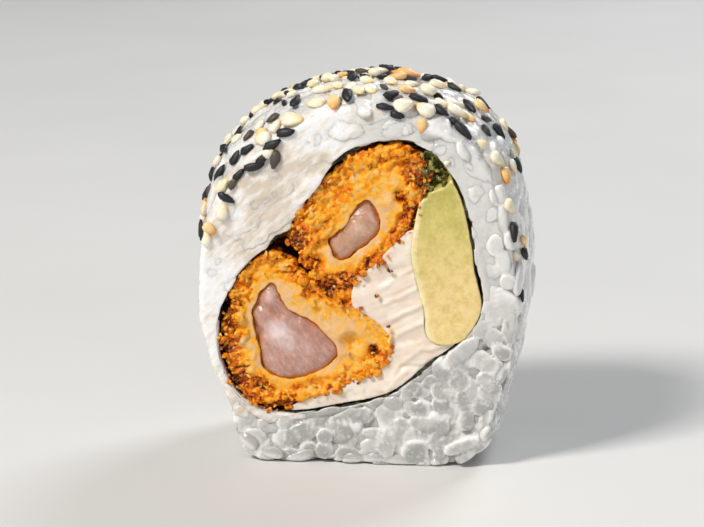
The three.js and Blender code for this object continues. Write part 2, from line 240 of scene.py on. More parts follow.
# Rough surfaces: numbers that vary smoothly from place to place.
@dataclass(frozen=True)
class Relief:
    """A pattern in space whose features are about size millimetres across."""

    size: float
    seed: int

    def _lattice(self, cells: Array, salt: int = 0) -> Array:
        """Gives each whole-numbered cell a number from 0 to 1."""
        mixed = cells @ np.array([73856093, 19349663, 83492791]) + (self.seed + salt) * 6682652
        mixed &= 0x7FFFFFFF
        mixed = ((mixed ^ (mixed >> 13)) * 1274126177) & 0x7FFFFFFF
        return ((mixed ^ (mixed >> 16)) & 0xFFFF) / 0xFFFF

    def waves(self, points: Array, octaves: int = 3) -> Array:
        """Gives soft cloud-like relief, about -1 to 1.

        Args:
            points: places in millimetres, a row each.
            octaves: how many finer layers are added, each half the size and half the height.

        Returns:
            One number for each place.
        """
        total = np.zeros(len(points))
        for octave in range(octaves):
            spots = points / self.size * 2**octave + 17.3 * octave
            base = np.floor(spots).astype(np.int64)
            t = spots - base
            t = t * t * (3 - 2 * t)
            for corner in np.ndindex(2, 2, 2):
                share = np.prod(np.where(np.array(corner), t, 1 - t), axis=1)
                total += share * (self._lattice(base + np.array(corner), octave) - 0.5) * 2 / 2**octave
        return total

    def cells(self, points: Array) -> tuple[Array, Array]:
        """Gives a crumb-like pattern: each place's distance to its crumb's middle, and the crumb's number.

        Args:
            points: places in millimetres, a row each.

        Returns:
            The distance, about 0 to 1, and a number from 0 to 1 that is the same all over one crumb.
        """
        spots = points / self.size
        base = np.floor(spots).astype(np.int64)
        nearest = np.full(len(points), 9.0)
        tone = np.zeros(len(points))
        for step in np.ndindex(3, 3, 3):
            cell = base + np.array(step) - 1
            heart = cell + np.stack([self._lattice(cell, salt) for salt in (1, 2, 3)], 1)
            gap = np.linalg.norm(spots - heart, axis=1)
            closer = gap < nearest
            nearest = np.where(closer, gap, nearest)
            tone = np.where(closer, self._lattice(cell, 4), tone)
        return nearest, tone


# Hand work on meshes.
def deselect() -> None:
    """Leaves nothing selected."""
    bpy.ops.object.select_all(action="DESELECT")


def pick(piece: Piece) -> None:
    """Makes one object the only one selected, and the active one."""
    deselect()
    piece.select_set(True)
    bpy.context.view_layer.objects.active = piece


@contextmanager
def editing(piece: Piece) -> Iterator[None]:
    """Opens a piece in edit mode with all its faces selected, and closes it again."""
    pick(piece)
    bpy.ops.object.mode_set(mode="EDIT")
    bpy.ops.mesh.select_mode(type="FACE")
    bpy.ops.mesh.select_all(action="SELECT")
    yield
    bpy.ops.object.mode_set(mode="OBJECT")


def modified(piece: Piece, kind: str, **settings: object) -> None:
    """Adds a modifier with its settings and applies it.

    Args:
        piece: the object to change.
        kind: the modifier's type.
        settings: the modifier's own properties.
    """
    pick(piece)
    modifier = piece.modifiers.new(kind.lower(), kind)
    for key, value in settings.items():
        setattr(modifier, key, value)
    bpy.ops.object.modifier_apply(modifier=modifier.name)


def coords(piece: Piece) -> Array:
    """Gives a piece's points in millimetres, a row each."""
    flat = np.empty(len(piece.data.vertices) * 3, np.float32)
    piece.data.vertices.foreach_get("co", flat)
    return flat.reshape(-1, 3).astype(float) / MM


def normals(piece: Piece) -> Array:
    """Gives the outward unit normal at each of a piece's points."""
    flat = np.empty(len(piece.data.vertices) * 3, np.float32)
    piece.data.vertex_normals.foreach_get("vector", flat)
    return flat.reshape(-1, 3).astype(float)


def move_to(piece: Piece, points: Array) -> None:
    """Puts a piece's points at new places, in millimetres."""
    piece.data.vertices.foreach_set("co", (points * MM).astype(np.float32).ravel())
    piece.data.update()


def paint(piece: Piece, name: str, values: Array) -> None:
    """Stores one number at each point of a piece for its finish to read."""
    layer = piece.data.attributes.new(name, "FLOAT", "POINT")
    layer.data.foreach_set("value", values.astype(np.float32))


def mesh_from(name: str, points: Array, faces: Sequence[Sequence[int]]) -> Piece:
    """Makes an object from points in millimetres and faces.

    Args:
        name: the object's name.
        points: the points, a row each.
        faces: each face's point numbers.

    Returns:
        The new object, linked into the scene.
    """
    mesh = bpy.data.meshes.new(name)
    mesh.from_pydata((points * MM).tolist(), [], [list(face) for face in faces])
    mesh.update()
    piece = bpy.data.objects.new(name, mesh)
    bpy.context.scene.collection.objects.link(piece)
    return piece


def prism(name: str, loop: Array, half: float) -> Piece:
    """Models a block with a loop for its section, from one cut face to the other.

    Args:
        name: the object's name.
        loop: the section's points, as x and z.
        half: how far the block reaches to each side of the middle.

    Returns:
        The closed block.
    """
    deselect()
    bpy.ops.mesh.primitive_circle_add(vertices=len(loop), radius=MM, fill_type="NGON")
    piece = bpy.context.object
    piece.name = name
    move_to(piece, standing(loop, -half))
    with editing(piece):
        bpy.ops.mesh.extrude_region_move(TRANSFORM_OT_translate={"value": (0, 2 * half * MM, 0)})
        bpy.ops.mesh.select_all(action="SELECT")
        bpy.ops.mesh.normals_make_consistent(inside=False)
    return piece


def softened(piece: Piece, times: int) -> None:
    """Smooths a piece's skin a few times."""
    modified(piece, "SMOOTH", factor=0.5, iterations=times)


def carved(piece: Piece, cutter: Piece, operation: str = "DIFFERENCE") -> None:
    """Cuts one closed block with another, which is then removed."""
    modified(piece, "BOOLEAN", object=cutter, operation=operation, solver="EXACT")
    bpy.data.objects.remove(cutter)


def remeshed(piece: Piece, voxel: float) -> None:
    """Fuses all that a piece holds into one closed skin of even quads, voxel millimetres across."""
    pick(piece)
    piece.data.remesh_voxel_size = voxel * MM
    piece.data.remesh_voxel_adaptivity = 0
    bpy.ops.object.voxel_remesh()


def fused(piece: Piece, voxel: float, values: dict[str, Array]) -> None:
    """Gives overlapping shells one common skin, painted with the values of their own points.

    Args:
        piece: the piece, which is changed.
        voxel: the size of the skin's cells, in millimetres.
        values: for each attribute, its value at each of the piece's present points.
    """
    tree = KDTree(len(piece.data.vertices))
    for index, spot in enumerate(coords(piece)):
        tree.insert(spot, index)
    tree.balance()
    remeshed(piece, voxel)
    softened(piece, 2)
    found = [tree.find_n(spot, 3) for spot in coords(piece)]
    index = np.array([[near[1] for near in three] for three in found])
    weight = 1 / (np.array([[near[2] for near in three] for three in found]) + 0.02)
    weight /= weight.sum(1, keepdims=True)
    for name, own in values.items():
        paint(piece, name, (own[index] * weight).sum(1))


def joined(pieces: Sequence[Piece], name: str) -> Piece:
    """Joins several objects into the first, under a new name.

    Args:
        pieces: the objects.
        name: the new name.

    Returns:
        The joined object.
    """
    pick(pieces[0])
    for piece in pieces:
        piece.select_set(True)
    bpy.ops.object.join()
    pieces[0].name = name
    return pieces[0]


def dressed(piece: Piece, finish: Material, node: str) -> Piece:
    """Gives a piece its finish, hangs it under the root body and hides the CAD node that it stands for.

    Args:
        piece: the finished mesh object.
        finish: its material.
        node: the CAD node that it replaces.

    Returns:
        The same object.
    """
    pick(piece)
    bpy.ops.object.shade_smooth()
    piece.data.name = piece.name
    piece.data.materials.clear()
    piece.data.materials.append(finish)
    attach(piece, "root")
    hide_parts(node)
    LOG.info("%s: %d faces", piece.name, len(piece.data.polygons))
    return piece


# Finishes.
class Shader:
    """Builds one material's nodes in a few words."""

    def __init__(self, name: str) -> None:
        """Starts a material with its principled shader."""
        self.material = bpy.data.materials.new(name)
        self.material.use_nodes = True
        self.nodes = self.material.node_tree.nodes
        self.links = self.material.node_tree.links
        self.skin = self.nodes["Principled BSDF"]
        self.place = self.nodes.new("ShaderNodeTexCoord").outputs["Object"]

    def set(self, **values: object) -> None:
        """Sets the principled shader's own sockets, with underscores for the spaces in their names."""
        for key, value in values.items():
            self.skin.inputs[key.replace("_", " ")].default_value = value

    def put(self, socket: str, source: Socket) -> None:
        """Links a source to one of the principled shader's sockets."""
        self.links.new(source, self.skin.inputs[socket])

    def painted(self, name: str) -> Socket:
        """Reads a number stored at the piece's points."""
        node = self.nodes.new("ShaderNodeAttribute")
        node.attribute_name = name
        return node.outputs["Fac"]

    def stretched(self, scale: Triple, turn: Triple = (0, 0, 0)) -> Socket:
        """Gives object coordinates that are turned and then stretched along the axes.

        Args:
            scale: the stretch along each axis.
            turn: the angle about each axis.

        Returns:
            The coordinates' socket.
        """
        node = self.nodes.new("ShaderNodeMapping")
        node.vector_type = "TEXTURE"
        node.inputs["Rotation"].default_value = turn
        node.inputs["Scale"].default_value = scale
        self.links.new(self.place, node.inputs["Vector"])
        return node.outputs["Vector"]

    def noise(
        self, size: float, detail: float = 3, rough: float = 0.5, where: Socket | None = None
    ) -> Socket:
        """Gives cloudy noise whose features are about size millimetres across.

        Args:
            size: the features' size in millimetres.
            detail: how many finer layers are added.
            rough: how strong the finer layers are.
            where: the coordinates to read, or None for the object's own.

        Returns:
            The noise's factor socket.
        """
        node = self.nodes.new("ShaderNodeTexNoise")
        node.inputs["Scale"].default_value = 1 / (size * MM)
        node.inputs["Detail"].default_value = detail
        node.inputs["Roughness"].default_value = rough
        self.links.new(where or self.place, node.inputs["Vector"])
        return node.outputs["Fac"]

    def crumbs(self, size: float) -> Socket:
        """Gives a pattern of cells about size millimetres across."""
        node = self.nodes.new("ShaderNodeTexVoronoi")
        node.inputs["Scale"].default_value = 1 / (size * MM)
        self.links.new(self.place, node.inputs["Vector"])
        return node.outputs["Distance"]

    def ramp(self, source: Socket, stops: Sequence[tuple[float, Colour]]) -> Socket:
        """Turns a number into a colour.

        Args:
            source: the number's socket.
            stops: each stop's place, from 0 to 1, and its colour.

        Returns:
            The colour's socket.
        """
        node = self.nodes.new("ShaderNodeValToRGB")
        while len(node.color_ramp.elements) < len(stops):
            node.color_ramp.elements.new(0.5)
        for element, (place, colour) in zip(node.color_ramp.elements, stops):
            element.position = place
            element.color = (*colour, 1)
        self.links.new(source, node.inputs["Fac"])
        return node.outputs["Color"]

    def spread(self, source: Socket, low: float, high: float, start: float, end: float) -> Socket:
        """Maps a number from one range to another and keeps it within the second.

        Args:
            source: the number's socket.
            low: where the first range starts.
            high: where it ends.
            start: the value at low.
            end: the value at high.

        Returns:
            The new number's socket.
        """
        node = self.nodes.new("ShaderNodeMapRange")
        for key, value in (("From Min", low), ("From Max", high), ("To Min", start), ("To Max", end)):
            node.inputs[key].default_value = value
        self.links.new(source, node.inputs["Value"])
        return node.outputs["Result"]

    def sum(self, first: Socket, second: Socket, kind: str = "ADD") -> Socket:
        """Combines two numbers, by adding them or by another kind of arithmetic.

        Args:
            first: the first number's socket.
            second: the second number's socket.
            kind: the arithmetic, such as ADD or MULTIPLY.

        Returns:
            The result's socket.
        """
        node = self.nodes.new("ShaderNodeMath")
        node.operation = kind
        self.links.new(first, node.inputs[0])
        self.links.new(second, node.inputs[1])
        return node.outputs[0]

    def blend(
        self, factor: Socket, first: Socket | Colour, second: Socket | Colour, kind: str = "MIX"
    ) -> Socket:
        """Blends two colours.

        Args:
            factor: how much of the second colour shows.
            first: the first colour or its socket.
            second: the second colour or its socket.
            kind: the way of blending.

        Returns:
            The blended colour's socket.
        """
        node = self.nodes.new("ShaderNodeMix")
        node.data_type = "RGBA"
        node.blend_type = kind
        self.links.new(factor, node.inputs["Factor"])
        for socket, source in ((node.inputs[6], first), (node.inputs[7], second)):
            if isinstance(source, tuple):
                socket.default_value = (*source, 1)
            else:
                self.links.new(source, socket)
        return node.outputs[2]

    def bump(self, height: Socket, depth: float, socket: str = "Normal") -> None:
        """Adds bump, over any bump already there.

        Args:
            height: the relief's socket.
            depth: how high it is where the relief is 1, in millimetres.
            socket: the skin's own normal or its coat's.
        """
        node = self.nodes.new("ShaderNodeBump")
        node.inputs["Distance"].default_value = depth * MM
        self.links.new(height, node.inputs["Height"])
        under = self.skin.inputs[socket].links
        if under:
            self.links.new(under[0].from_socket, node.inputs["Normal"])
        self.put(socket, node.outputs["Normal"])


@dataclass(frozen=True)
class RiceFinish:
    """Moist translucent grains, with painted light: greyer glassy middles as painted shade, thin bright
    borders and sparkles as painted highlights, painted shade in the gaps, and a milky smear whose whitest
    parts are partly painted light.
    """

    body: Colour = (0.80, 0.785, 0.76)
    # Painted shade: the grey middle of a clear grain, as if dark showed through it.
    glass: Colour = (0.42, 0.42, 0.405)
    # Painted highlight: the bright line along each grain's edge, also used for the sparkles.
    border: Colour = (0.90, 0.893, 0.875)
    # Painted shade: the colour deep between the grains and in the holes.
    gap: Colour = (0.40, 0.385, 0.35)
    warm: Colour = (0.72, 0.625, 0.52)
    # Partly painted light: the whitest smear, where it is brightest.
    milk: Colour = (1.0, 0.99, 0.97)
    glow: float = 0.9

    def material(self) -> Material:
        """Builds the finish."""
        shader = Shader("moist_rice")
        # Painted shade: greyer glassy middles, clouded by noise.
        cloud = shader.spread(shader.noise(1.6), 0.34, 0.62, 0.5, 1.0)
        clear = shader.sum(shader.painted("glass"), cloud, "MULTIPLY")
        grain = shader.blend(clear, self.body, self.glass)
        veins = shader.noise(0.9, 4, 0.62, shader.stretched((1, 1, 3.4), (0, math.radians(48), 0)))
        # Milky against warm in the smear, the milky part partly painted light.
        milky_and_lit = shader.sum(shader.painted("milk"), shader.spread(veins, 0.35, 0.65, -0.5, 0.5))
        smear = shader.blend(milky_and_lit, self.warm, self.milk)
        skin = shader.blend(shader.painted("smear"), grain, smear)
        # Painted highlights: small bright sparkles on the glassy grains.
        painted_sparkles = shader.spread(shader.noise(0.5, 2), 0.6, 0.7, 0.0, 0.3)
        lit = shader.blend(shader.sum(painted_sparkles, shader.painted("glass"), "MULTIPLY"), skin, self.border)
        # Painted highlight along the grains' edges.
        edged = shader.blend(shader.painted("border"), lit, self.border)
        # Painted shade in the gaps between the grains.
        shader.put("Base Color", shader.blend(shader.painted("gap"), edged, self.gap))
        shader.put("Roughness", shader.spread(shader.noise(0.7), 0.35, 0.65, 0.10, 0.30))
        shader.set(
            Subsurface_Weight=0.8, Subsurface_Radius=(1.0, 0.95, 0.88), Subsurface_Scale=self.glow * MM,
            Coat_Weight=0.8, Coat_Roughness=0.05, IOR=1.42,
        )
        shader.bump(shader.noise(1.2), 0.16)
        shader.bump(shader.noise(0.9), 0.36, "Coat Normal")
        shader.bump(shader.noise(0.35, 3, 0.6), 0.2, "Coat Normal")
        return shader.material


@dataclass(frozen=True)
class SeedFinish:
    """A sesame seed's coat: a colour on the body, one at the tip, and one for the odd ones out."""

    name: str
    body: Colour
    tip: Colour
    odd: Colour
    shine: float
    glow: float

    def material(self) -> Material:
        """Builds the finish."""
        shader = Shader(self.name)
        ends = shader.ramp(shader.painted("tip"), ((0.55, self.body), (0.98, self.tip)))
        shader.put("Base Color", shader.blend(shader.painted("tone"), ends, self.odd))
        low, high = self.shine - 0.08, self.shine + 0.12
        shader.put("Roughness", shader.spread(shader.noise(0.4, 2), 0.3, 0.7, low, high))
        shader.set(
            Subsurface_Weight=self.glow, Subsurface_Radius=(1.0, 0.7, 0.45), Subsurface_Scale=0.4 * MM,
        )
        shader.bump(shader.noise(0.3), 0.06)
        return shader.material


@dataclass(frozen=True)
class NoriFinish:
    """Damp seaweed: black-green with olive patches and a broken shine."""

    dark: Colour = (0.004, 0.005, 0.003)
    olive: Colour = (0.15, 0.115, 0.025)

    def material(self) -> Material:
        """Builds the finish."""
        shader = Shader("damp_nori")
        stops = ((0.47, self.dark), (0.68, self.olive))
        shader.put("Base Color", shader.ramp(shader.noise(0.9, 4, 0.6), stops))
        shader.put("Roughness", shader.spread(shader.noise(0.6), 0.3, 0.7, 0.14, 0.4))
        shader.bump(shader.noise(0.4, 4, 0.6), 0.4)
        return shader.material


@dataclass(frozen=True)
class CrustFinish:
    """Fried crumb: pale batter by the meat, then straw, amber, brown and nearly black, with painted shade
    that darkens the hollows and painted glints.
    """

    batter: Colour = (0.82, 0.50, 0.25)
    straw: Colour = (0.93, 0.46, 0.035)
    amber: Colour = (0.98, 0.33, 0.003)
    rust: Colour = (0.82, 0.18, 0.001)
    brown: Colour = (0.40, 0.055, 0.001)
    dark: Colour = (0.09, 0.010, 0.0005)
    # Painted glint colour.
    painted_glint: Colour = (1.0, 0.58, 0.05)

    def material(self) -> Material:
        """Builds the finish."""
        shader = Shader("fried_crumb")
        rough = shader.spread(shader.painted("fry"), 0.02, 0.4, 0.3, 1.0)
        speck = shader.spread(shader.noise(0.9, 4, 0.62), 0.36, 0.66, -0.28, 0.36)
        fried = shader.sum(shader.painted("fry"), shader.sum(speck, rough, "MULTIPLY"))
        stops = (
            (0.0, self.batter), (0.15, self.straw), (0.33, self.amber), (0.6, self.rust),
            (0.82, self.brown), (1.0, self.dark),
        )
        # Painted glints: bright yellow specks on the browned crumb.
        glints = shader.spread(shader.noise(0.5, 2), 0.56, 0.63, 0.0, 0.75)
        glinting = shader.sum(glints, rough, "MULTIPLY")
        shader.put("Base Color", shader.blend(glinting, shader.ramp(fried, stops), self.painted_glint))
        shader.put("Roughness", shader.spread(shader.noise(0.4), 0.35, 0.65, 0.12, 0.32))
        shader.set(
            Subsurface_Weight=0.15, Subsurface_Radius=(1.0, 0.4, 0.05), Subsurface_Scale=0.5 * MM,
            Coat_Weight=0.45, Coat_Roughness=0.06, Specular_IOR_Level=0.1,
        )
        shader.bump(shader.sum(shader.crumbs(0.7), rough, "MULTIPLY"), 0.22)
        shader.bump(shader.noise(0.25, 3, 0.6), 0.06)
        shader.bump(shader.crumbs(0.5), 0.22, "Coat Normal")
        shader.bump(shader.noise(0.3, 3, 0.6), 0.16, "Coat Normal")
        return shader.material


@dataclass(frozen=True)
class MeatFinish:
    """Cooked shrimp: translucent and moist, paler along its fibres and deeper at its edge, with painted
    shade along its grooves.
    """

    name: str
    flesh: Colour
    fibre: Colour
    edge: Colour
    fleck: Colour

    def material(self) -> Material:
        """Builds the finish."""
        shader = Shader(self.name)
        streaks = shader.noise(0.55, 4, 0.62, shader.stretched((1, 1, 3.2), (0, math.radians(-35), 0)))
        pale = shader.sum(shader.spread(streaks, 0.42, 0.75, 0, 0.3), shader.painted("streak"))
        flesh = shader.blend(pale, self.flesh, self.fibre)
        # Deeper colour at the edge, with painted shade along the grooves.
        edged = shader.blend(shader.painted("edge"), flesh, self.edge)
        shader.put("Base Color", shader.blend(shader.painted("fleck"), edged, self.fleck))
        shader.put("Roughness", shader.spread(shader.noise(0.5), 0.3, 0.7, 0.12, 0.34))
        shader.set(
            Subsurface_Weight=1.0, Subsurface_Radius=(1.0, 0.6, 0.5), Subsurface_Scale=1.1 * MM,
            Coat_Weight=1.0, Coat_Roughness=0.05,
        )
        shader.bump(shader.noise(1.2), 0.3)
        shader.bump(streaks, 0.06)
        return shader.material


@dataclass(frozen=True)
class AvocadoFinish:
    """Cut avocado: yellow-green at the top, pale butter yellow below, olive where it is crushed, with a
    painted highlight along its left edge.
    """

    top: Colour = (0.66, 0.58, 0.165)
    foot: Colour = (0.93, 0.72, 0.34)
    bruise: Colour = (0.40, 0.38, 0.07)
    # Painted highlight colour along the left edge.
    strip: Colour = (0.97, 0.84, 0.54)

    def material(self) -> Material:
        """Builds the finish."""
        shader = Shader("cut_avocado")
        flesh = shader.blend(shader.painted("ripe"), self.foot, self.top)
        stops = ((0.32, (0.78, 0.77, 0.56)), (0.58, (1.0, 1.0, 1.0)))
        mottled = shader.ramp(shader.noise(1.4, 5, 0.72), stops)
        sided = shader.blend(shader.painted("strip"), flesh, self.strip)
        colour = shader.blend(shader.painted("bruise"), sided, self.bruise)
        shader.put("Base Color", shader.blend(shader.painted("whole"), colour, mottled, "MULTIPLY"))
        shader.put("Roughness", shader.spread(shader.noise(0.5), 0.3, 0.7, 0.34, 0.55))
        shader.set(
            Subsurface_Weight=0.6, Subsurface_Radius=(1.0, 0.8, 0.3), Subsurface_Scale=0.9 * MM,
            Coat_Weight=0.35, Coat_Roughness=0.12,
        )
        shader.bump(shader.noise(0.35), 0.06)
        shader.bump(shader.noise(0.5, 4, 0.6), 0.14, "Coat Normal")
        return shader.material


@dataclass(frozen=True)
class MushFinish:
    """Crushed avocado: wet, olive to yellow green, with nearly black patches of painted shade laid by noise.
    """

    def material(self) -> Material:
        """Builds the finish."""
        shader = Shader("crushed_avocado")
        # The nearly black stops are painted shade, laid by noise.
        stops = (
            (0.3, (0.025, 0.02, 0.004)), (0.45, (0.12, 0.10, 0.012)), (0.58, (0.30, 0.28, 0.05)),
            (0.72, (0.60, 0.52, 0.16)),
        )
        shader.put("Base Color", shader.ramp(shader.noise(0.9, 4, 0.65), stops))
        shader.put("Roughness", shader.spread(shader.noise(0.4), 0.35, 0.65, 0.12, 0.35))
        shader.set(Subsurface_Weight=0.3, Subsurface_Radius=(0.8, 1.0, 0.3), Subsurface_Scale=0.5 * MM)
        shader.bump(shader.noise(0.3), 0.1)
        return shader.material


@dataclass(frozen=True)
class CheeseFinish:
    """Soft white cheese with a satin surface and the knife's fine lines."""

    curd: Colour = (0.86, 0.71, 0.58)
    peak: Colour = (0.92, 0.82, 0.71)

    def material(self) -> Material:
        """Builds the finish."""
        shader = Shader("soft_cheese")
        lines = shader.noise(0.5, 3, 0.55, shader.stretched((7, 3, 1), (0, math.radians(-17), 0)))
        warm = shader.spread(shader.noise(2.0), 0.3, 0.7, 0.0, 1.0)
        shader.put("Base Color", shader.blend(warm, self.curd, self.peak))
        shader.put("Roughness", shader.spread(shader.noise(0.6, 2), 0.3, 0.7, 0.28, 0.5))
        shader.set(Subsurface_Weight=0.7, Subsurface_Radius=(1.0, 0.8, 0.55), Subsurface_Scale=0.7 * MM)
        shader.bump(lines, 0.05)
        shader.bump(shader.noise(0.4), 0.03)
        return shader.material


# Grains, seeds and crumbs: one small shape, laid many times and joined.
@dataclass(frozen=True)
class Spindle:
    """A small closed shape along its first axis, one unit in radius each way.

    Attributes:
        sides: how many points go round it.
        rings: how many rings of points lie between its two tips.
        blunt: how full its ends are.
        taper: how much slimmer its far end is than its near one.
    """

    sides: int = 8
    rings: int = 5
    blunt: float = 2.2
    taper: float = 0.0

    def points(self) -> Array:
        """Gives the shape's points: the near tip, the rings and the far tip."""
        places = -np.cos(np.linspace(0, math.pi, self.rings + 2))[1:-1]
        angles = np.arange(self.sides) * 2 * math.pi / self.sides
        girth = (1 - np.abs(places) ** self.blunt) ** 0.5 * (1 - self.taper * places)
        rows = [np.array([[-1.0, 0, 0]])]
        for place, width in zip(places, girth):
            round_it = [np.full(self.sides, place), np.cos(angles) * width, np.sin(angles) * width]
            rows.append(np.stack(round_it, 1))
        return np.vstack([*rows, np.array([[1.0, 0, 0]])])

    def faces(self) -> list[tuple[int, ...]]:
        """Gives the shape's faces as point numbers, facing out."""
        sides, last = self.sides, self.sides * self.rings + 1
        faces: list[tuple[int, ...]] = []
        for i in range(sides):
            following = (i + 1) % sides
            faces.append((0, 1 + following, 1 + i))
            faces.append((last, last - sides + i, last - sides + following))
            for ring in range(self.rings - 1):
                a, b = 1 + ring * sides + i, 1 + ring * sides + following
                faces.append((a, b, b + sides, a + sides))
        return faces


def copies(name: str, spots: Array, faces: Sequence[Sequence[int]]) -> Piece:
    """Joins many copies of one shape into a single mesh.

    Args:
        name: the object's name.
        spots: every copy's points, as copies by points by three.
        faces: one copy's faces.

    Returns:
        The new object.
    """
    count, size = spots.shape[:2]
    every = [tuple(i + step * size for i in face) for step in range(count) for face in faces]
    return mesh_from(name, spots.reshape(-1, 3), every)


def chips(name: str, rng: Draws, spots: Array, sizes: tuple[float, float]) -> Piece:
    """Makes angular chips of crumb, each turned its own way.

    Args:
        name: the object's name.
        rng: the source of random numbers.
        spots: the chips' middles, a row each.
        sizes: the least and greatest radius.

    Returns:
        The chips as one object.
    """
    count = len(spots)
    shape = Spindle(sides=5, rings=2, blunt=3)
    own = shape.points()
    radii = rng.uniform(*sizes, (count, 1)) * rng.uniform((0.8, 0.6, 0.35), (1.5, 1.1, 0.8), (count, 3))
    turned, _ = np.linalg.qr(rng.normal(size=(count, 3, 3)))
    turned *= np.linalg.det(turned)[:, None, None]
    uneven = rng.uniform(0.65, 1.3, (count, len(own), 1))
    return copies(name, spots[:, None] + (own[None] * radii[:, None] * uneven) @ turned, shape.faces())


def frames_on(normal: Array, along: Array, turn: Array, tilt: Array) -> Array:
    """Builds the axes of small things that lie on a surface.

    Args:
        normal: the surface's outward unit normal under each thing.
        along: a unit direction in the surface at each thing.
        turn: each thing's angle from along, about the normal.
        tilt: how far each thing's far end is lifted, as an angle.

    Returns:
        A matrix for each thing, whose rows are its length, its width and its thickness.
    """
    side = np.cross(normal, along)
    length = along * np.cos(turn)[:, None] + side * np.sin(turn)[:, None]
    raised = length * np.cos(tilt)[:, None] + normal * np.sin(tilt)[:, None]
    width = np.cross(normal, length)
    return np.stack([raised, width, np.cross(raised, width)], 1)


def spaced(rng: Draws, wanted: Array, gap: float) -> Array:
    """Picks spots that keep their distance from each other.

    Args:
        rng: the source of random numbers.
        wanted: candidate spots, a row each.
        gap: the least distance between two picked spots.

    Returns:
        The picked spots.
    """
    picked = np.empty((0, wanted.shape[1]))
    for spot in rng.permutation(wanted):
        if len(picked) == 0 or ((picked - spot) ** 2).sum(1).min() > gap**2:
            picked = np.vstack([picked, spot])
    return picked


# Where the roll is looked at from.
@dataclass(frozen=True)
class Sight:
    """The photo's view: its angles, its scale at the front face, and where it aims in the frame."""

    azimuth: float = 7.0
    elevation: float = 13.0
    distance: float = 430.0
    scale: float = 6.9
    aim: Triple = (0.0, -HALF, 27.0)
    aim_pixel: Pixel = (363.0, 285.2)
    frame_pixels: Pixel = (704.0, 527.0)

    def axes(self) -> Array:
        """Gives the view's right, up and back directions, as the rows of a matrix."""
        azimuth, elevation = math.radians(self.azimuth), math.radians(self.elevation)
        right = np.array([math.cos(azimuth), math.sin(azimuth), 0])
        back = np.array([
            math.sin(azimuth) * math.cos(elevation),
            -math.cos(azimuth) * math.cos(elevation),
            math.sin(elevation),
        ])
        return np.stack([right, np.cross(back, right), back])

    def ray(self, pixel: Sequence[float]) -> tuple[Array, Array]:
        """Gives the line along which a pixel of the frame is seen.

        Args:
            pixel: the pixel, from the frame's left and top.

        Returns:
            The eye's place, and the direction of length 1.
        """
        right, up, back = self.axes()
        across = (pixel[0] - self.aim_pixel[0]) / self.scale
        above = (self.aim_pixel[1] - pixel[1]) / self.scale
        way = right * across + up * above - back * self.distance
        return np.array(self.aim) + back * self.distance, way / np.linalg.norm(way)

    def on_face(self, pixel: Sequence[float]) -> Array:
        """Gives the x and z at which a pixel of the frame shows the front face."""
        eye, way = self.ray(pixel)
        spot = eye + way * (-HALF - eye[1]) / way[1]
        return spot[[0, 2]]


# Blocks that run through the roll.
@dataclass(frozen=True)
class Patch:
    """A round patch on the front face: its middle and radius in pixels of the frame, and its value."""

    pixel: Pixel
    radius: float
    value: float


def patches(*rows: Sequence[float]) -> tuple[Patch, ...]:
    """Lists patches, each row with a pixel's two numbers, a radius and a value."""
    return tuple(Patch((across, down), radius, value) for across, down, radius, value in rows)


def patched(sight: Sight, spots: Array, base: Array, patches: Sequence[Patch], keep: float) -> Array:
    """Blends named patches over a base value.

    Args:
        sight: the view whose pixels name the patches.
        spots: places on the face as x and z.
        base: the value where no patch reaches.
        patches: the patches.
        keep: how strongly the base holds against a patch.

    Returns:
        One value for each place.
    """
    weights = np.full(len(spots), keep)
    total = base * keep
    for patch in patches:
        far = np.linalg.norm(spots - sight.on_face(patch.pixel), axis=1) * sight.scale / patch.radius
        weight = np.exp(-(far**2))
        weights += weight
        total += weight * patch.value
    return total / weights


def creased(sight: Sight, spots: Array, lines: Lines, width: float) -> Array:
    """Says how near each place is to any of some lines on the front face.

    Args:
        sight: the view whose pixels name the lines.
        spots: places on the face as x and z.
        lines: the lines, each as pixels of the frame.
        width: how far a line reaches to each side, in millimetres.

    Returns:
        One value for each place, from 0 far away to 1 on a line.
    """
    near = np.zeros(len(spots))
    for line in lines:
        knots = np.array([sight.on_face(pixel) for pixel in line])
        for start, end in zip(knots[:-1], knots[1:]):
            along = end - start
            share = np.clip(((spots - start) @ along) / (along @ along), 0, 1)
            gap = np.linalg.norm(spots - start - share[:, None] * along, axis=1)
            near = np.maximum(near, np.exp(-((gap / width) ** 2)))
    return near


def facing_share(direction: Array) -> Array:
    """Says how much each point belongs to a cut face, from 0 on the sides to 1 on the faces."""
    return ease(0.35, 0.8, np.abs(direction[:, 1]))


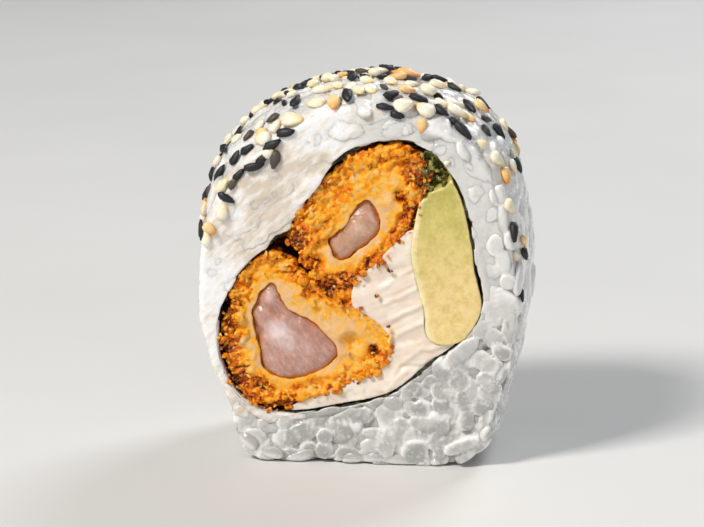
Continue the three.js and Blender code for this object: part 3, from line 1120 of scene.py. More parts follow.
@dataclass
class ShrimpMeat:
    """One shrimp's meat: lobes with grooves between them, fibres and flecks.

    Attributes:
        corners: its outline.
        lobes: how far parts of the face stand out, in millimetres.
        grooves: lines in pixels of the frame along which the face is creased.
        streaks: where it is paler.
        flecks: where it is orange or dark.
        swell, uneven: how far its side stands out all round, and more or less from place to place.
        crown, crown_width: how far the face's middle stands out, and how wide the slope to it is.
        lump, fibre, groove: the height of its lumps and fibres and the depth of its grooves, which are
            groove_width wide to each side.
    """

    sight: Sight
    name: str
    node: str
    corners: Rows
    finish: MeatFinish
    lobes: Sequence[Patch]
    grooves: Lines
    streaks: Sequence[Patch]
    flecks: Sequence[Patch]
    half: float = HALF - 1.2
    voxel: float = 0.21
    swell: float = 0.14
    uneven: float = 0.3
    crown: float = 0.8
    crown_width: float = 1.1
    lump: float = 0.16
    fibre: float = 0.05
    groove: float = 0.3
    groove_width: float = 0.5

    def build(self) -> Piece:
        """Models the meat and dresses it."""
        loop = smooth_loop(self.corners, 160)
        side = self.swell + self.uneven * Relief(1.5, 19).waves(standing(loop, 0.0))
        piece = prism(self.name, loop + outward(loop) * side[:, None], self.half)
        remeshed(piece, self.voxel)
        softened(piece, 3)
        points, direction = coords(piece), normals(piece)
        face = facing_share(direction)
        spots = points[:, [0, 2]]
        within = depth_within(spots, loop)
        nothing = np.zeros(len(points))
        front = ease(0, -6, points[:, 1])
        rise = self.crown * (1 - np.exp(-within / self.crown_width))
        rise += self.lump * Relief(2.4, 5).waves(points)
        rise += patched(self.sight, spots, nothing, self.lobes, 0.5) * front
        fibres = Relief(0.6, 9).waves(points * np.array([1.0, 0.3, 0.4])) * self.fibre
        groove = creased(self.sight, spots, self.grooves, self.groove_width)
        points[:, 1] += np.sign(direction[:, 1]) * face * (rise + fibres - self.groove * groove * front)
        move_to(piece, points)
        paint(piece, "streak", patched(self.sight, spots, nothing, self.streaks, 1.0) * front)
        # Deeper colour near the outline, and painted shade along the grooves.
        paint(piece, "edge", np.clip(ease(1.1, 0.0, within) + 0.5 * groove * front, 0, 1))
        ragged = 0.6 + 0.8 * Relief(0.8, 31).waves(points)
        fleck = patched(self.sight, spots, nothing, self.flecks, 0.4) * front * ragged
        paint(piece, "fleck", np.clip(fleck, 0, 1))
        return dressed(piece, self.finish.material(), self.node)


@dataclass
class ShrimpCrust:
    """One shrimp's fried crust: smooth batter round the meat, craggy browned crumb towards the rim.

    Attributes:
        patches: how browned the face is at places in the photo, where 0 is pale and 1 is dark.
        pits: holes in the face.
        lie: the angle in degrees along which the flakes of the crumb run.
        block, chip: the sizes of the crumb's coarse and fine lumps; level is how far they stand at
            different heights and round how far their middles stand out, in millimetres.
        hollow_shade: how much darker a hollow is painted than a crest, for each millimetre, as painted
            shade.
        filler: round plugs of crumb behind the face, as x, z, width, and the y of both ends.
    """

    sight: Sight
    name: str
    node: str
    corners: Rows
    meat: Rows
    patches: Sequence[Patch]
    pits: Sequence[Patch]
    seed: int
    lie: float
    filler: Rows = ()
    half: float = HALF - 0.6
    voxel: float = 0.24
    crumb_gap: float = 1.3
    crumb_sizes: tuple[float, float] = (0.3, 0.75)
    block: float = 1.6
    block_level: float = 0.85
    block_round: float = 0.6
    chip: float = 0.75
    chip_level: float = 0.36
    chip_round: float = 0.28
    hollow_shade: float = 0.52

    def _ragged(self, loop: Array, size: float, depth: float) -> Array:
        """Makes a loop uneven by about a depth, with bumps about a size across."""
        height = depth * Relief(size, self.seed).waves(standing(loop, float(self.seed)), 3)
        return loop[:, :2] + outward(loop) * height[:, None]

    def _crumbs(self, rng: Draws, loop: Array, hole: Array) -> Piece:
        """Lays chips of crumb on the browned parts of the faces and round the side of the core.

        Args:
            rng: the source of random numbers.
            loop: the core's outline.
            hole: the meat's outline.

        Returns:
            The chips as one object.
        """
        wanted = rng.uniform(loop.min(0), loop.max(0), (5000, 2))
        wanted = wanted[inside(wanted, grown(loop, -0.2)) & ~inside(wanted, grown(hole, 1.0))]
        spots, ways = [], []
        for face in Face:
            browned = self._fry(wanted, loop, hole, 1.0 if face is Face.FRONT else 0.0) > 0.3
            picked = spaced(rng, wanted[browned], self.crumb_gap)
            spots.append(standing(picked, face.value * self.half))
            ways.append(np.tile([0.0, face.value, 0.0], (len(picked), 1)))
        girth = np.linalg.norm(np.diff(loop, axis=0), axis=1).sum()
        picked = spaced(rng, rng.uniform((0, -self.half), (girth, self.half), (6000, 2)), self.crumb_gap)
        index = (picked[:, 0] / girth * len(loop)).astype(int) % len(loop)
        out = outward(loop)[index]
        spots.append(standing(loop[index], picked[:, 1]))
        ways.append(standing(out, 0.0))
        spot, way = np.vstack(spots), np.vstack(ways)
        return chips("crumbs", rng, spot + way * rng.uniform(-0.4, 0.1, (len(spot), 1)), self.crumb_sizes)

    def _fry(self, spots: Array, loop: Array, hole: Array, front: Array | float) -> Array:
        """Says how browned the crust is at each place: 0 is pale batter and 1 is dark brown.

        Args:
            spots: the places as x and z.
            loop: the crust's outline.
            hole: the meat's outline.
            front: how much each place belongs to the front face, where the patches count.

        Returns:
            One value for each place.
        """
        base = 0.7 - 0.55 * ease(0.0, 3.6, depth_within(spots, loop))
        base -= 0.2 * ease(1.6, 0.2, -depth_within(spots, hole))
        return patched(self.sight, spots, base, self.patches, 0.2) * front + base * (1 - front)

    def _crags(self, points: Array, rough: Array) -> Array:
        """Gives the crumb's relief: blocks and chips at their own levels where it is rough.

        Args:
            points: the skin's points.
            rough: how rough the crumb is at each, from 0 to 1.

        Returns:
            The height at each point, in millimetres.
        """
        angle = math.radians(self.lie)
        along = points[:, 0] * math.cos(angle) + points[:, 2] * math.sin(angle)
        across = points[:, 2] * math.cos(angle) - points[:, 0] * math.sin(angle)
        lain = np.stack([along * 0.62, points[:, 1], across], 1)
        lain += 0.3 * np.stack([Relief(1.2, self.seed + salt).waves(lain, 2) for salt in (5, 6, 7)], 1)
        block_far, block_own = Relief(self.block, self.seed).cells(lain)
        chip_far, chip_own = Relief(self.chip, self.seed + 1).cells(lain)
        crag = self.block_level * (block_own - 0.5) - self.block_round * (block_far**2 - 0.25)
        crag += self.chip_level * (chip_own - 0.5) - self.chip_round * (chip_far**2 - 0.25)
        crag += 0.12 * Relief(0.5, self.seed + 2).waves(points, 2)
        smooth = 0.12 * Relief(1.4, self.seed + 3).waves(points) + 0.05 * (chip_own - 0.5)
        return crag * rough + smooth * (1 - rough) + 0.25 * Relief(4.0, self.seed + 4).waves(points, 2)

    def build(self) -> Piece:
        """Models the crust and dresses it."""
        rng = np.random.default_rng(self.seed)
        loop = self._ragged(grown(smooth_loop(self.corners, 240), -0.45), 2.4, 0.35)
        hole = self._ragged(smooth_loop(self.meat, 160), 1.2, 0.16)
        core = prism(self.name, loop, self.half)
        carved(core, prism("hole", hole, DEPTH))
        parts = [core, self._crumbs(rng, loop, hole)]
        for x, z, across, start, end in self.filler:
            angles = np.linspace(0, 2 * math.pi, 24, endpoint=False)
            ring = np.stack([x + np.cos(angles) * across / 2, z + np.sin(angles) * across / 2], 1)
            plug = prism("filler", ring, (end - start) / 2)
            points = coords(plug)
            points[:, 1] += (start + end) / 2
            move_to(plug, points)
            parts.append(plug)
        piece = joined(parts, self.name)
        remeshed(piece, self.voxel)
        points, direction = coords(piece), normals(piece)
        spots = points[:, [0, 2]]
        front = ease(-HALF + 4, -HALF + 2, points[:, 1])
        browned = self._fry(spots, grown(loop, 0.4), hole, front)
        clear = ease(0.0, 0.9, -depth_within(spots, hole))
        crag = self._crags(points, ease(0.16, 0.42, browned) * (0.25 + 0.75 * clear))
        crag -= 1.3 * patched(self.sight, spots, np.zeros(len(points)), self.pits, 0.25) * front
        points += direction * (crag * (0.3 + 0.7 * clear))[:, None]
        move_to(piece, self._kept(points, hole))
        sides = 1 - facing_share(direction)
        fry = browned * (1 - sides * 0.4) + 0.75 * sides * 0.4
        fry += 0.3 * Relief(2.4, self.seed + 9).waves(points) * ease(0.12, 0.4, browned)
        # Painted shade: hollows are painted darker and crests paler.
        paint(piece, "fry", fry - self.hollow_shade * crag * (0.3 + 0.7 * ease(0.1, 0.4, browned)))
        return dressed(piece, CrustFinish().material(), self.node)

    def _kept(self, points: Array, hole: Array) -> Array:
        """Keeps points inside the nori's pocket and clear of the meat.

        Args:
            points: the crust's points.
            hole: the meat's outline.

        Returns:
            The points at their new places.
        """
        pocket = smooth_loop(NORI_OUTLINE, 300)
        spots = points[:, [0, 2]]
        inner = pocket - outward(pocket) * (NORI_THICK - 0.1)
        for ring, way in ((inner, 1), (grown(hole, -0.05), -1)):
            wrong = inside(spots, ring) != (way == 1)
            gaps = spots[wrong, None] - ring[None]
            spots[wrong] = ring[(gaps**2).sum(2).argmin(1)] if wrong.any() else spots[wrong]
        points = points.copy()
        points[:, [0, 2]] = spots
        return points


@dataclass
class LooseCrumbs:
    """Crumbs that lie on the crusts and stray onto the cheese, the nori and the rice.

    Attributes:
        count: how many lie on the front face.
        stray: where single ones have strayed to, in pixels of the frame.
        gap, back_gap: the least distance between two, on the front face and on the back face.
        clearance: how far they keep from the meat.
        overhang: how far past the crust's outline they may lie.
        sizes: the least and greatest radius.
    """

    sight: Sight
    name: str
    node: str
    corners: Rows
    meat: Rows
    seed: int
    count: int = 70
    stray: Sequence[Pixel] = ()
    gap: float = 0.7
    back_gap: float = 0.8
    clearance: float = 0.9
    overhang: float = 0.15
    sizes: tuple[float, float] = (0.15, 0.5)

    def build(self) -> Piece:
        """Scatters the crumbs and dresses them."""
        rng = np.random.default_rng(self.seed)
        loop, hole = smooth_loop(self.corners, 160), smooth_loop(self.meat, 120)
        wanted = rng.uniform(loop.min(0), loop.max(0), (9000, 2))
        edge = depth_within(wanted, loop)
        clear = -depth_within(wanted, hole)
        drawn = rng.random(len(wanted)) < np.clip(1.3 - edge / 1.8, 0.04, 1)
        wanted = wanted[(edge > -self.overhang) & (clear > self.clearance) & drawn]
        front = spaced(rng, wanted, self.gap)[: self.count]
        back = spaced(rng, wanted, self.back_gap)[: self.count // 2]
        strays = np.array([self.sight.on_face(pixel) for pixel in self.stray]).reshape(-1, 2)
        picked = np.vstack([front, back, strays])
        level = np.concatenate([
            -HALF + rng.uniform(0.1, 0.7, len(front)),
            HALF - rng.uniform(0.1, 0.75, len(back)),
            np.full(len(strays), -HALF - 0.05),
        ])
        piece = chips(self.name, rng, standing(picked, level), self.sizes)
        fry = np.clip(0.5 - 0.1 * depth_within(picked, loop) + rng.normal(0, 0.2, len(picked)), 0.05, 1)
        paint(piece, "fry", np.repeat(fry, len(piece.data.vertices) // len(picked)))
        piece = dressed(piece, CrustFinish().material(), self.node)
        bpy.ops.object.shade_flat()
        return piece


@dataclass
class AvocadoSlice:
    """The avocado: a proud firm slice, crushed soft at its upper end."""

    half: float = HALF - 0.2
    voxel: float = 0.26
    crushed_from: float = 41.3
    crushed_depth: float = 2.2
    lump_gap: float = 0.95
    lump_sizes: tuple[float, float] = (0.5, 0.95)

    def _mush(self, rng: Draws) -> Piece:
        """Models the crushed end as fused lumps and dresses it.

        Args:
            rng: the source of random numbers.

        Returns:
            The crushed end.
        """
        low, high = (7.9, -HALF + 0.7, self.crushed_from - 1.2), (13.4, HALF - 0.7, 47.6)
        wanted = rng.uniform(low, high, (9000, 3))
        pocket = grown(smooth_loop(NORI_OUTLINE, 240), -1.1)
        around = grown(smooth_loop(AVOCADO, 160), 0.7)
        room = inside(wanted[:, [0, 2]], pocket) & inside(wanted[:, [0, 2]], around)
        lumps = spaced(rng, wanted[room], self.lump_gap)
        piece = chips("avocado_mush", rng, lumps, self.lump_sizes)
        remeshed(piece, 0.22)
        softened(piece, 2)
        points, direction = coords(piece), normals(piece)
        near, own = Relief(0.9, 33).cells(points)
        points += direction * (0.3 * (own - 0.5) - 0.3 * near + 0.1)[:, None]
        move_to(piece, points)
        return dressed(piece, MushFinish().material(), "avocado")

    def build(self) -> None:
        """Models the slice and its crushed end, and dresses them."""
        self._mush(np.random.default_rng(6))
        piece = prism("avocado_slice", smooth_loop(AVOCADO, 160), self.half)
        remeshed(piece, self.voxel)
        softened(piece, 2)
        points, direction = coords(piece), normals(piece)
        face = facing_share(direction)
        level = points[:, 2] + 0.9 * Relief(2.0, 3).waves(points, 2) - 0.5 * (points[:, 0] - 10)
        crushed = ease(self.crushed_from - 1.0, self.crushed_from + 0.6, level)
        wave = 0.1 * Relief(3.2, 8).waves(points) + 0.03 * Relief(0.7, 18).waves(points, 2)
        points += direction * wave[:, None]
        points[:, 1] -= np.sign(direction[:, 1]) * face * crushed * self.crushed_depth
        move_to(piece, points)
        loop = smooth_loop(AVOCADO, 240)
        side = ease(0.75, 0.1, depth_within(points[:, [0, 2]], loop))
        # Painted highlight: a pale band along the left edge.
        left = ease(-0.3, -0.8, outward(loop)[nearest_on(points[:, [0, 2]], loop), 0])
        paint(piece, "strip", 0.85 * left * ease(0.9, 0.5, depth_within(points[:, [0, 2]], loop)))
        ripe = ease(24, 41, points[:, 2] + 1.5 * Relief(5.0, 21).waves(points))
        paint(piece, "ripe", ripe * (1 - 0.6 * side))
        paint(piece, "bruise", np.clip(crushed + 0.35 * ease(37, 42, level), 0, 1))
        paint(piece, "whole", 1 - 0.5 * crushed)
        dressed(piece, AvocadoFinish().material(), "avocado")


@dataclass
class CreamCheese:
    """The white cheese, pressed between the other fillings and dragged by the knife."""

    sight: Sight
    half: float = HALF - 0.55
    voxel: float = 0.22
    drag_angle: float = 17.0
    ridge: float = 0.14
    step: float = 0.22
    tear: float = 0.18
    fold: float = 0.26
    fold_width: float = 0.42
    # Folds that the knife left, in pixels of the frame.
    folds: Lines = (
        ((382, 288), (396, 279), (412, 270)), ((386, 304), (400, 298), (414, 291)),
        ((391, 320), (404, 313), (419, 307)), ((399, 334), (410, 328), (424, 323)),
        ((392, 377), (399, 365), (411, 357), (422, 350), (440, 347)),
        ((388, 392), (394, 381), (405, 372)),
    )

    def build(self) -> Piece:
        """Models the cheese round its neighbours and dresses it."""
        piece = prism("cream_cheese_fill", grown(smooth_loop(CHEESE, 160), 0.2), self.half)
        for corners, gap in ((UPPER_CRUST, -0.7), (LOWER_CRUST, -0.7), (AVOCADO, 0.02)):
            carved(piece, prism("cutter", grown(smooth_loop(corners, 160), gap), DEPTH))
        pocket = grown(smooth_loop(NORI_OUTLINE, 200), -NORI_THICK - 0.05)
        carved(piece, prism("pocket", pocket, DEPTH), "INTERSECT")
        remeshed(piece, self.voxel)
        softened(piece, 2)
        points, direction = coords(piece), normals(piece)
        face = facing_share(direction)
        angle = math.radians(self.drag_angle)
        bow = 0.9 * Relief(5.0, 2).waves(points)
        along = points[:, 0] * math.cos(angle) + points[:, 2] * math.sin(angle)
        across = points[:, 2] * math.cos(angle) - points[:, 0] * math.sin(angle) + bow
        drag = np.stack([along / 6, points[:, 1] / 9, across], 1)
        ridges = Relief(0.8, 4).waves(drag, 2) * ease(-0.3, 0.5, Relief(3.5, 14).waves(points, 2))
        steps = Relief(2.4, 6).waves(drag)
        torn = ease(0.1, 0.35, Relief(3.0, 41).waves(points)) * ease(14, 11, points[:, 2])
        rise = self.ridge * ridges + self.step * steps + self.tear * torn
        bent = points[:, [0, 2]] + 0.35 * Relief(1.6, 23).waves(points)[:, None]
        front = ease(-6, -9, points[:, 1])
        rise += self.fold * creased(self.sight, bent, self.folds, self.fold_width) * front
        points[:, 1] += np.sign(direction[:, 1]) * face * rise
        move_to(piece, points)
        return dressed(piece, CheeseFinish().material(), "cream_cheese")


@dataclass
class NoriSheet:
    """The seaweed sheet round the filling, thin, wrinkled and thicker where it folds.

    Attributes:
        thick, thinnest: how thick it is usually and at the least.
        uneven: how much its thickness varies, as a share of it.
        buckle, wrinkle: the height of its wide and of its narrow waves.
        ragged: how uneven its two edges are.
        fold_thick: how much thicker it is where it is folded.
        folds: where it is folded at the front face.
    """

    sight: Sight
    columns: int = 520
    rows: int = 50
    thick: float = 0.2
    thinnest: float = 0.1
    uneven: float = 0.7
    buckle: float = 0.2
    wrinkle: float = 0.14
    ragged: float = 0.5
    fold_thick: float = 0.7
    folds: Sequence[Patch] = patches(
        (420, 375, 26, 1.0), (462, 207, 14, 0.5), (341, 156, 12, 0.9), (235, 260, 16, 0.3),
    )

    def build(self) -> Piece:
        """Models the sheet as a closed band and dresses it."""
        loop = smooth_loop(NORI_OUTLINE, self.columns)
        out = outward(loop)
        flat = np.zeros(len(loop))
        fold = patched(self.sight, loop, flat, self.folds, 0.6)
        sheet = []
        edge = HALF - 0.5
        levels = np.linspace(-edge, edge, self.rows)
        for side, order in ((0.0, levels), (1.0, levels[::-1])):
            for y in order:
                spot = standing(loop, y)
                wave = self.buckle * Relief(2.6, 12).waves(spot)
                wave += self.wrinkle * Relief(0.9, 13).waves(spot, 2)
                wall = self.thick * (1 + self.uneven * Relief(1.1, 15).waves(spot)) + fold * self.fold_thick
                depth = np.clip(0.26 + wave, 0.0, 0.6) - 0.2 + side * np.maximum(wall, self.thinnest)
                sink = np.sign(y) * ease(edge - 1.2, edge, np.full(len(loop), abs(y)))
                spot[:, [0, 2]] -= out * depth[:, None]
                spot[:, 1] += sink * self.ragged * Relief(1.4, 16).waves(spot)
                sheet.append(spot)
        piece = banded("nori_sheet", np.stack(sheet, 1))
        return dressed(piece, NoriFinish().material(), "nori")


def banded(name: str, grid: Array) -> Piece:
    """Makes a ring-shaped closed mesh from a grid whose columns and rows both close on themselves.

    Args:
        name: the object's name.
        grid: the points, as columns by rows by three.

    Returns:
        The new object, facing out.
    """
    columns, rows = grid.shape[:2]
    numbers = np.arange(columns * rows).reshape(columns, rows)
    right, down = np.roll(numbers, -1, 0), np.roll(numbers, -1, 1)
    faces = np.stack([numbers, down, np.roll(right, -1, 1), right], 2).reshape(-1, 4)
    piece = mesh_from(name, grid.reshape(-1, 3), faces.tolist())
    with editing(piece):
        bpy.ops.mesh.normals_make_consistent(inside=False)
    return piece


# The rice.
@dataclass
class Grains:
    """Rice grains, or flakes of smeared rice, each pressed flat where it reaches the surface.

    Attributes:
        centres: each grain's middle, in millimetres.
        axes: each grain's length, width and thickness directions, as the rows of a matrix.
        radii: each grain's radius along each of its axes.
        tops: a spot on the plane that presses each grain.
        leans: the outward direction of that plane.
        soft: how gently each grain's flat turns into its side.
        bends: how much each grain is curved along its length.
        spare: how far each grain may stand out past the rim, the faces and the filling's edge.
        domed: how much of the height over the plane is left.
    """

    centres: Array
    axes: Array
    radii: Array
    tops: Array
    leans: Array
    soft: Array
    bends: Array
    spare: Array
    domed: ClassVar[float] = 0.16

    def __len__(self) -> int:
        """Gives the number of grains."""
        return len(self.centres)

    def picked(self, keep: Array) -> "Grains":
        """Gives only some of the grains."""
        return Grains(*(values[keep] for values in vars(self).values()))

    @staticmethod
    def together(*heaps: "Grains") -> "Grains":
        """Puts several heaps of grains together."""
        return Grains(*(np.concatenate(parts) for parts in zip(*(vars(heap).values() for heap in heaps))))

    def within(self, spots: Array, share: float) -> Array:
        """Says which spots lie inside any grain.

        Args:
            spots: places in millimetres, a row each.
            share: the share of each grain's size that counts.

        Returns:
            True for each spot inside.
        """
        answer = np.zeros(len(spots), bool)
        for centre, axes, radii in zip(self.centres, self.axes, self.radii):
            own = (spots - centre) @ axes.T / radii
            answer |= (own**2).sum(1) < share**2
        return answer

    def shaped(self, shape: Spindle, uneven: float, size: float) -> tuple[Array, Array]:
        """Gives every grain's points, and how deep each lies below its own grain's top.

        Args:
            shape: the shape that all of them start from.
            uneven: how lumpy they are, in millimetres.
            size: how far apart the lumps are, in millimetres.

        Returns:
            The points, as grains by points by three, and their depths.
        """
        own = np.repeat(shape.points()[None], len(self), 0)
        way = own.copy()
        own[..., 2] += self.bends[:, None] * own[..., 0] ** 2
        spots = self.centres[:, None] + (own * self.radii[:, None]) @ self.axes
        apart = spots + 31.0 * np.arange(len(self))[:, None, None]
        lumps = uneven * Relief(size, 61).waves(apart.reshape(-1, 3)).reshape(own.shape[:2])
        spots += (way * lumps[..., None]) @ self.axes
        rise = ((spots - self.tops[:, None]) * self.leans[:, None]).sum(2)
        kept = self.domed * excess(rise, self.soft[:, None]) - excess(-rise, self.soft[:, None])
        spots += (kept - rise)[..., None] * self.leans[:, None]
        return spots, kept.max(1, keepdims=True) - kept


@dataclass
class RiceRing:
    """The ring of rice: pressed grains in a bed of crushed rice, smeared by the knife at the upper left.

    The bed is made in two halves that overlap under the rim, because the photographed face needs the
    finer mesh.

    Attributes:
        corner: the radius between the rim and the cut faces.
        grain: a usual grain's length, width and thickness.
        rim_gap, face_gap: the least distance between two grains' middles.
        rim_lumps, face_lumps: how lumpy the grains are.
        seam: the y at which the bed's halves meet.
        heart: the x and z about which the angles of the smear are measured.
        melt: how much softer the edges of the flakes that aren't lifted are.
        smeared, hanging: the angles between which the front face is smeared and hangs over the filling.
        bed_step, bed_round, bed_depth: how far the bed's lumps stand at different heights, how far
            their middles stand out, and how deep the bed lies.
        hole_depth: how deep the small holes are.
    """

    sight: Sight
    corner: float = 0.8
    grain: Triple = (6.0, 2.9, 2.5)
    rim_gap: float = 2.4
    face_gap: float = 1.95
    rim_lumps: float = 0.24
    face_lumps: float = 0.34
    seam: float = -6.0
    heart: tuple[float, float] = (-2.0, 27.0)
    melt: float = 0.3
    smeared: Sequence[float] = (78.0, 96.0, 222.0, 240.0)
    hanging: Sequence[float] = (98.0, 108.0, 150.0, 162.0)
    bed_step: float = 0.35
    bed_round: float = 0.3
    bed_depth: float = 0.3
    hole_depth: float = 1.4

    # Flakes that the knife smeared at the upper left: the middle in pixels of the frame, half the
    # length and half the width in pixels, the angle, the level, and how much the far end is lifted.
    flakes: Rows = (
        (306, 136, 32, 20, 35, 0, 0.04), (313, 178, 24, 13, 38, 0.3, 0.09),
        (265, 190, 38, 17, 42, 0.05, 0.03), (279, 214, 27, 14, 40, 0.2, 0.07),
        (228, 238, 16, 14, 0, -0.05, 0.03), (255, 238, 17, 10, 30, 0.15, 0.08),
        (240, 264, 18, 9, 50, 0.05, 0.05), (213, 266, 10, 27, 0, 0, 0.03),
        (347, 130, 20, 11, 5, 0.2, 0.07), (373, 115, 20, 10, 12, 0.05, 0.04),
        (251, 162, 24, 13, 50, -0.05, 0.03), (232, 207, 20, 11, 60, 0.1, 0.03),
        (234, 287, 9, 16, 60, 0.15, 0.05), (288, 158, 24, 12, 35, 0, 0.04),
        (222, 337, 11, 18, 20, 0, 0.03), (400, 128, 18, 9, -5, 0, 0.03), (299, 195, 18, 9, 42, 0.2, 0.1),
        (246, 388, 18, 8, -45, 0.1, 0), (262, 412, 20, 8, -25, 0.1, 0.03), (233, 365, 8, 16, 15, 0.1, 0),
        (290, 415, 18, 7, -5, 0.1, 0), (240, 410, 8, 14, 20, 0.05, 0),
    )
    # Single grains that stand out elsewhere on the face, in the same numbers.
    marked: Rows = (
        (478, 168, 21, 13, -32, 0.35, 0), (503, 262, 9, 15, 10, 0.3, 0), (478, 142, 13, 9, -30, 0.1, 0),
        (461, 352, 22, 8, 42, 0.5, 0.08), (493, 339, 11, 12, 0, 0.35, 0),
        (493, 373, 12, 17, 0, 0.4, 0.05), (510, 325, 8, 22, 0, 0.1, 0), (462, 446, 21, 7, 28, 0.75, 0.1),
        (416, 452, 15, 13, 20, 0.45, 0.1), (267, 456, 13, 10, 30, 0.5, 0.1),
        (254, 438, 14, 12, 0, 0.45, 0), (383, 437, 22, 8, -12, 0.25, 0),
        (424, 424, 17, 9, -10, 0.3, 0.05), (475, 396, 14, 9, 20, 0.25, 0), (441, 405, 9, 11, 0, 0.3, 0),
        (391, 403, 10, 9, 0, 0.35, 0), (433, 383, 12, 8, 10, 0.2, 0), (371, 447, 12, 10, 0, 0.3, 0),
        (466, 386, 12, 9, 0, 0.15, 0), (406, 386, 10, 8, -20, 0.2, 0), (497, 300, 8, 16, 15, 0.2, 0),
        (349, 417, 22, 8, 18, 0.25, 0), (301, 433, 17, 11, 15, 0.2, 0), (293, 456, 14, 8, -8, 0.25, 0),
        (346, 455, 13, 9, 0, 0.3, 0), (343, 436, 14, 8, 30, 0.15, 0),
    )
    # Where the smear is milky white, and where it is warmer; the whitest patches are partly the smear's own
    # tone and partly painted light where it is brightest.
    milky_and_lit: Sequence[Patch] = patches(
        (213, 275, 22, 1), (312, 125, 24, 1), (222, 215, 18, 0.9), (268, 205, 22, 0),
        (295, 175, 18, 0.1), (245, 250, 14, 0.1), (222, 340, 20, 0.9), (350, 125, 14, 0.6),
        (262, 165, 14, 0.5), (322, 165, 10, 0), (250, 300, 10, 0.6), (255, 400, 18, 0.3),
    )
    # Small holes between the grains, sunk into the bed and darkened with painted shade.
    holes: Sequence[Patch] = patches(
        (324, 428, 3.5, 1), (428, 409, 4, 0.9), (458, 410, 6, 0.9), (446, 448, 3, 1),
        (279, 455, 3.5, 0.9), (362, 410, 3, 0.8), (486, 350, 3, 0.7), (402, 440, 3, 0.7),
    )

    def half(self, face: Face, start: float, columns: int, rows: Sequence[int]) -> tuple[Array, Array]:
        """Works out the smooth surface of the half that has one of the cut faces.

        Args:
            face: the cut face.
            start: the y at which the half starts.
            columns: how many columns of points go round it.
            rows: how many rows the rim, the corner, the face and the inner wall have.

        Returns:
            Its points, as columns by rows by three, and the unit direction in which each may rise.
        """
        loop = smooth_loop(RICE_OUTLINE, columns)
        out, fall, way = outward(loop), loop[:, 2], face.value
        end = np.full(columns, HALF - self.corner)
        for _ in range(3):
            tilt = fallen(fall, end)[1]
            end = HALF - self.corner * (1 - np.sin(tilt))
        level = standing(loop, 0.0)
        first = start + 1.2 * Relief(5.0, 44).waves(level, 2)
        flat_out = standing(out, 0.0)
        along = np.array([0.0, way, 0.0])
        spots = [level + np.outer(first, [0.0, 1, 0]) - flat_out * 1.5]
        lifts = [np.zeros((columns, 3))]
        for share in np.linspace(0, 1, rows[0]):
            y = first + (way * end - first) * share
            sunk, slope = (part[:, None] for part in fallen(fall, y))
            spots.append(level - flat_out * sunk + np.outer(y, [0.0, 1, 0]))
            lifts.append(flat_out * np.cos(slope) + np.sin(slope) * np.outer(np.sign(y), [0.0, 1, 0]))
        pivot = spots[-1] - (flat_out * np.cos(tilt)[:, None] + np.outer(np.sin(tilt), along)) * self.corner
        for step in range(1, rows[1] + 1):
            angle = (tilt + (math.pi / 2 - tilt) * step / rows[1])[:, None]
            lifts.append(flat_out * np.cos(angle) + along * np.sin(angle))
            spots.append(pivot + lifts[-1] * self.corner)
        edge, lip = spots[-1], self._across(loop, 1.0 if face is Face.FRONT else 0.3)
        for share in np.arange(1, rows[2] + 1) / rows[2]:
            spots.append(edge + (standing(lip, edge[:, 1]) - edge) * share)
            lifts.append(np.tile(along, (columns, 1)))
        inner = self._across(loop, 0.0)
        for y in np.linspace(way * (HALF - 0.7), start, rows[3]):
            spots.append(standing(inner, y))
            lifts.append(np.zeros((columns, 3)))
        return np.stack(spots, 1), np.stack(lifts, 1)

    def _across(self, loop: Array, overhang: float) -> Array:
        """Gives the hole's edge in the same direction from the heart as each point of the rim.

        Args:
            loop: the rim's points.
            overhang: how much of its ragged lip the edge has, from 0 to 1.

        Returns:
            The edge's points.
        """
        hole = smooth_loop(NORI_OUTLINE, 600)
        arms = hole - np.array(self.heart)
        angles = np.arctan2(arms[:, 1], arms[:, 0])
        order = np.argsort(angles)
        rim = loop[:, :2] - np.array(self.heart)
        angle = np.arctan2(rim[:, 1], rim[:, 0])
        far = np.interp(angle, angles[order], np.hypot(arms[:, 0], arms[:, 1])[order], period=2 * math.pi)
        way = np.stack([np.cos(angle), np.sin(angle)], 1)
        spots = standing(np.array(self.heart) + way * far[:, None], -HALF)
        ragged = Relief(2.6, 5).waves(spots)
        lip = self._lip_share(spots)
        far -= overhang * np.clip(0.2 + ragged * (0.3 + 0.8 * lip) + 0.8 * lip, 0.05, 1.5)
        return np.array(self.heart) + way * far[:, None]

    def _stretch(self, points: Array, limits: Sequence[float]) -> Array:
        """Says how much each point belongs to a stretch round the filling, on the front face alone.

        Args:
            points: the points.
            limits: the angles at which the stretch starts, is full, is full for the last time, and ends.

        Returns:
            One value for each point, from 0 to 1.
        """
        angle = np.degrees(np.arctan2(points[:, 2] - self.heart[1], points[:, 0] - self.heart[0])) % 360
        there = ease(*limits[:2], angle) * (1 - ease(*limits[2:], angle))
        return there * ease(-HALF + 2.6, -HALF + 1.0, points[:, 1])

    def smear_share(self, points: Array) -> Array:
        """Says how much each point belongs to the smeared part of the front face."""
        return self._stretch(points, self.smeared)

    def _lip_share(self, points: Array) -> Array:
        """Says how much each point belongs to the part of the smear that hangs over the filling."""
        return self._stretch(points, self.hanging)

    def _grains(
        self, rng: Draws, spot: Array, normal: Array, axes: Array,
        sunk: Array, level: Array, soft: float,
    ) -> Grains:
        """Makes ordinary grains.

        Args:
            rng: the source of random numbers.
            spot: the surface under each grain.
            normal: the surface's outward direction there.
            axes: each grain's axes.
            sunk: how far each grain's middle lies under the surface.
            level: how far each grain's flat stands above it.
            soft: how gently the flats turn into the sides.

        Returns:
            The grains.
        """
        count = len(spot)
        radii = np.array(self.grain) / 2 * rng.uniform((0.6, 0.75, 0.8), (1.15, 1.35, 1.2), (count, 3))
        lean = unit(normal + rng.normal(0, 0.09, (count, 3)))
        softness = soft * rng.uniform(0.7, 1.4, count)
        return Grains(
            spot - normal * sunk[:, None], axes, radii, spot + normal * level[:, None], lean, softness,
            rng.normal(0, 0.12, count), rng.uniform(-0.15, 0.6, count),
        )

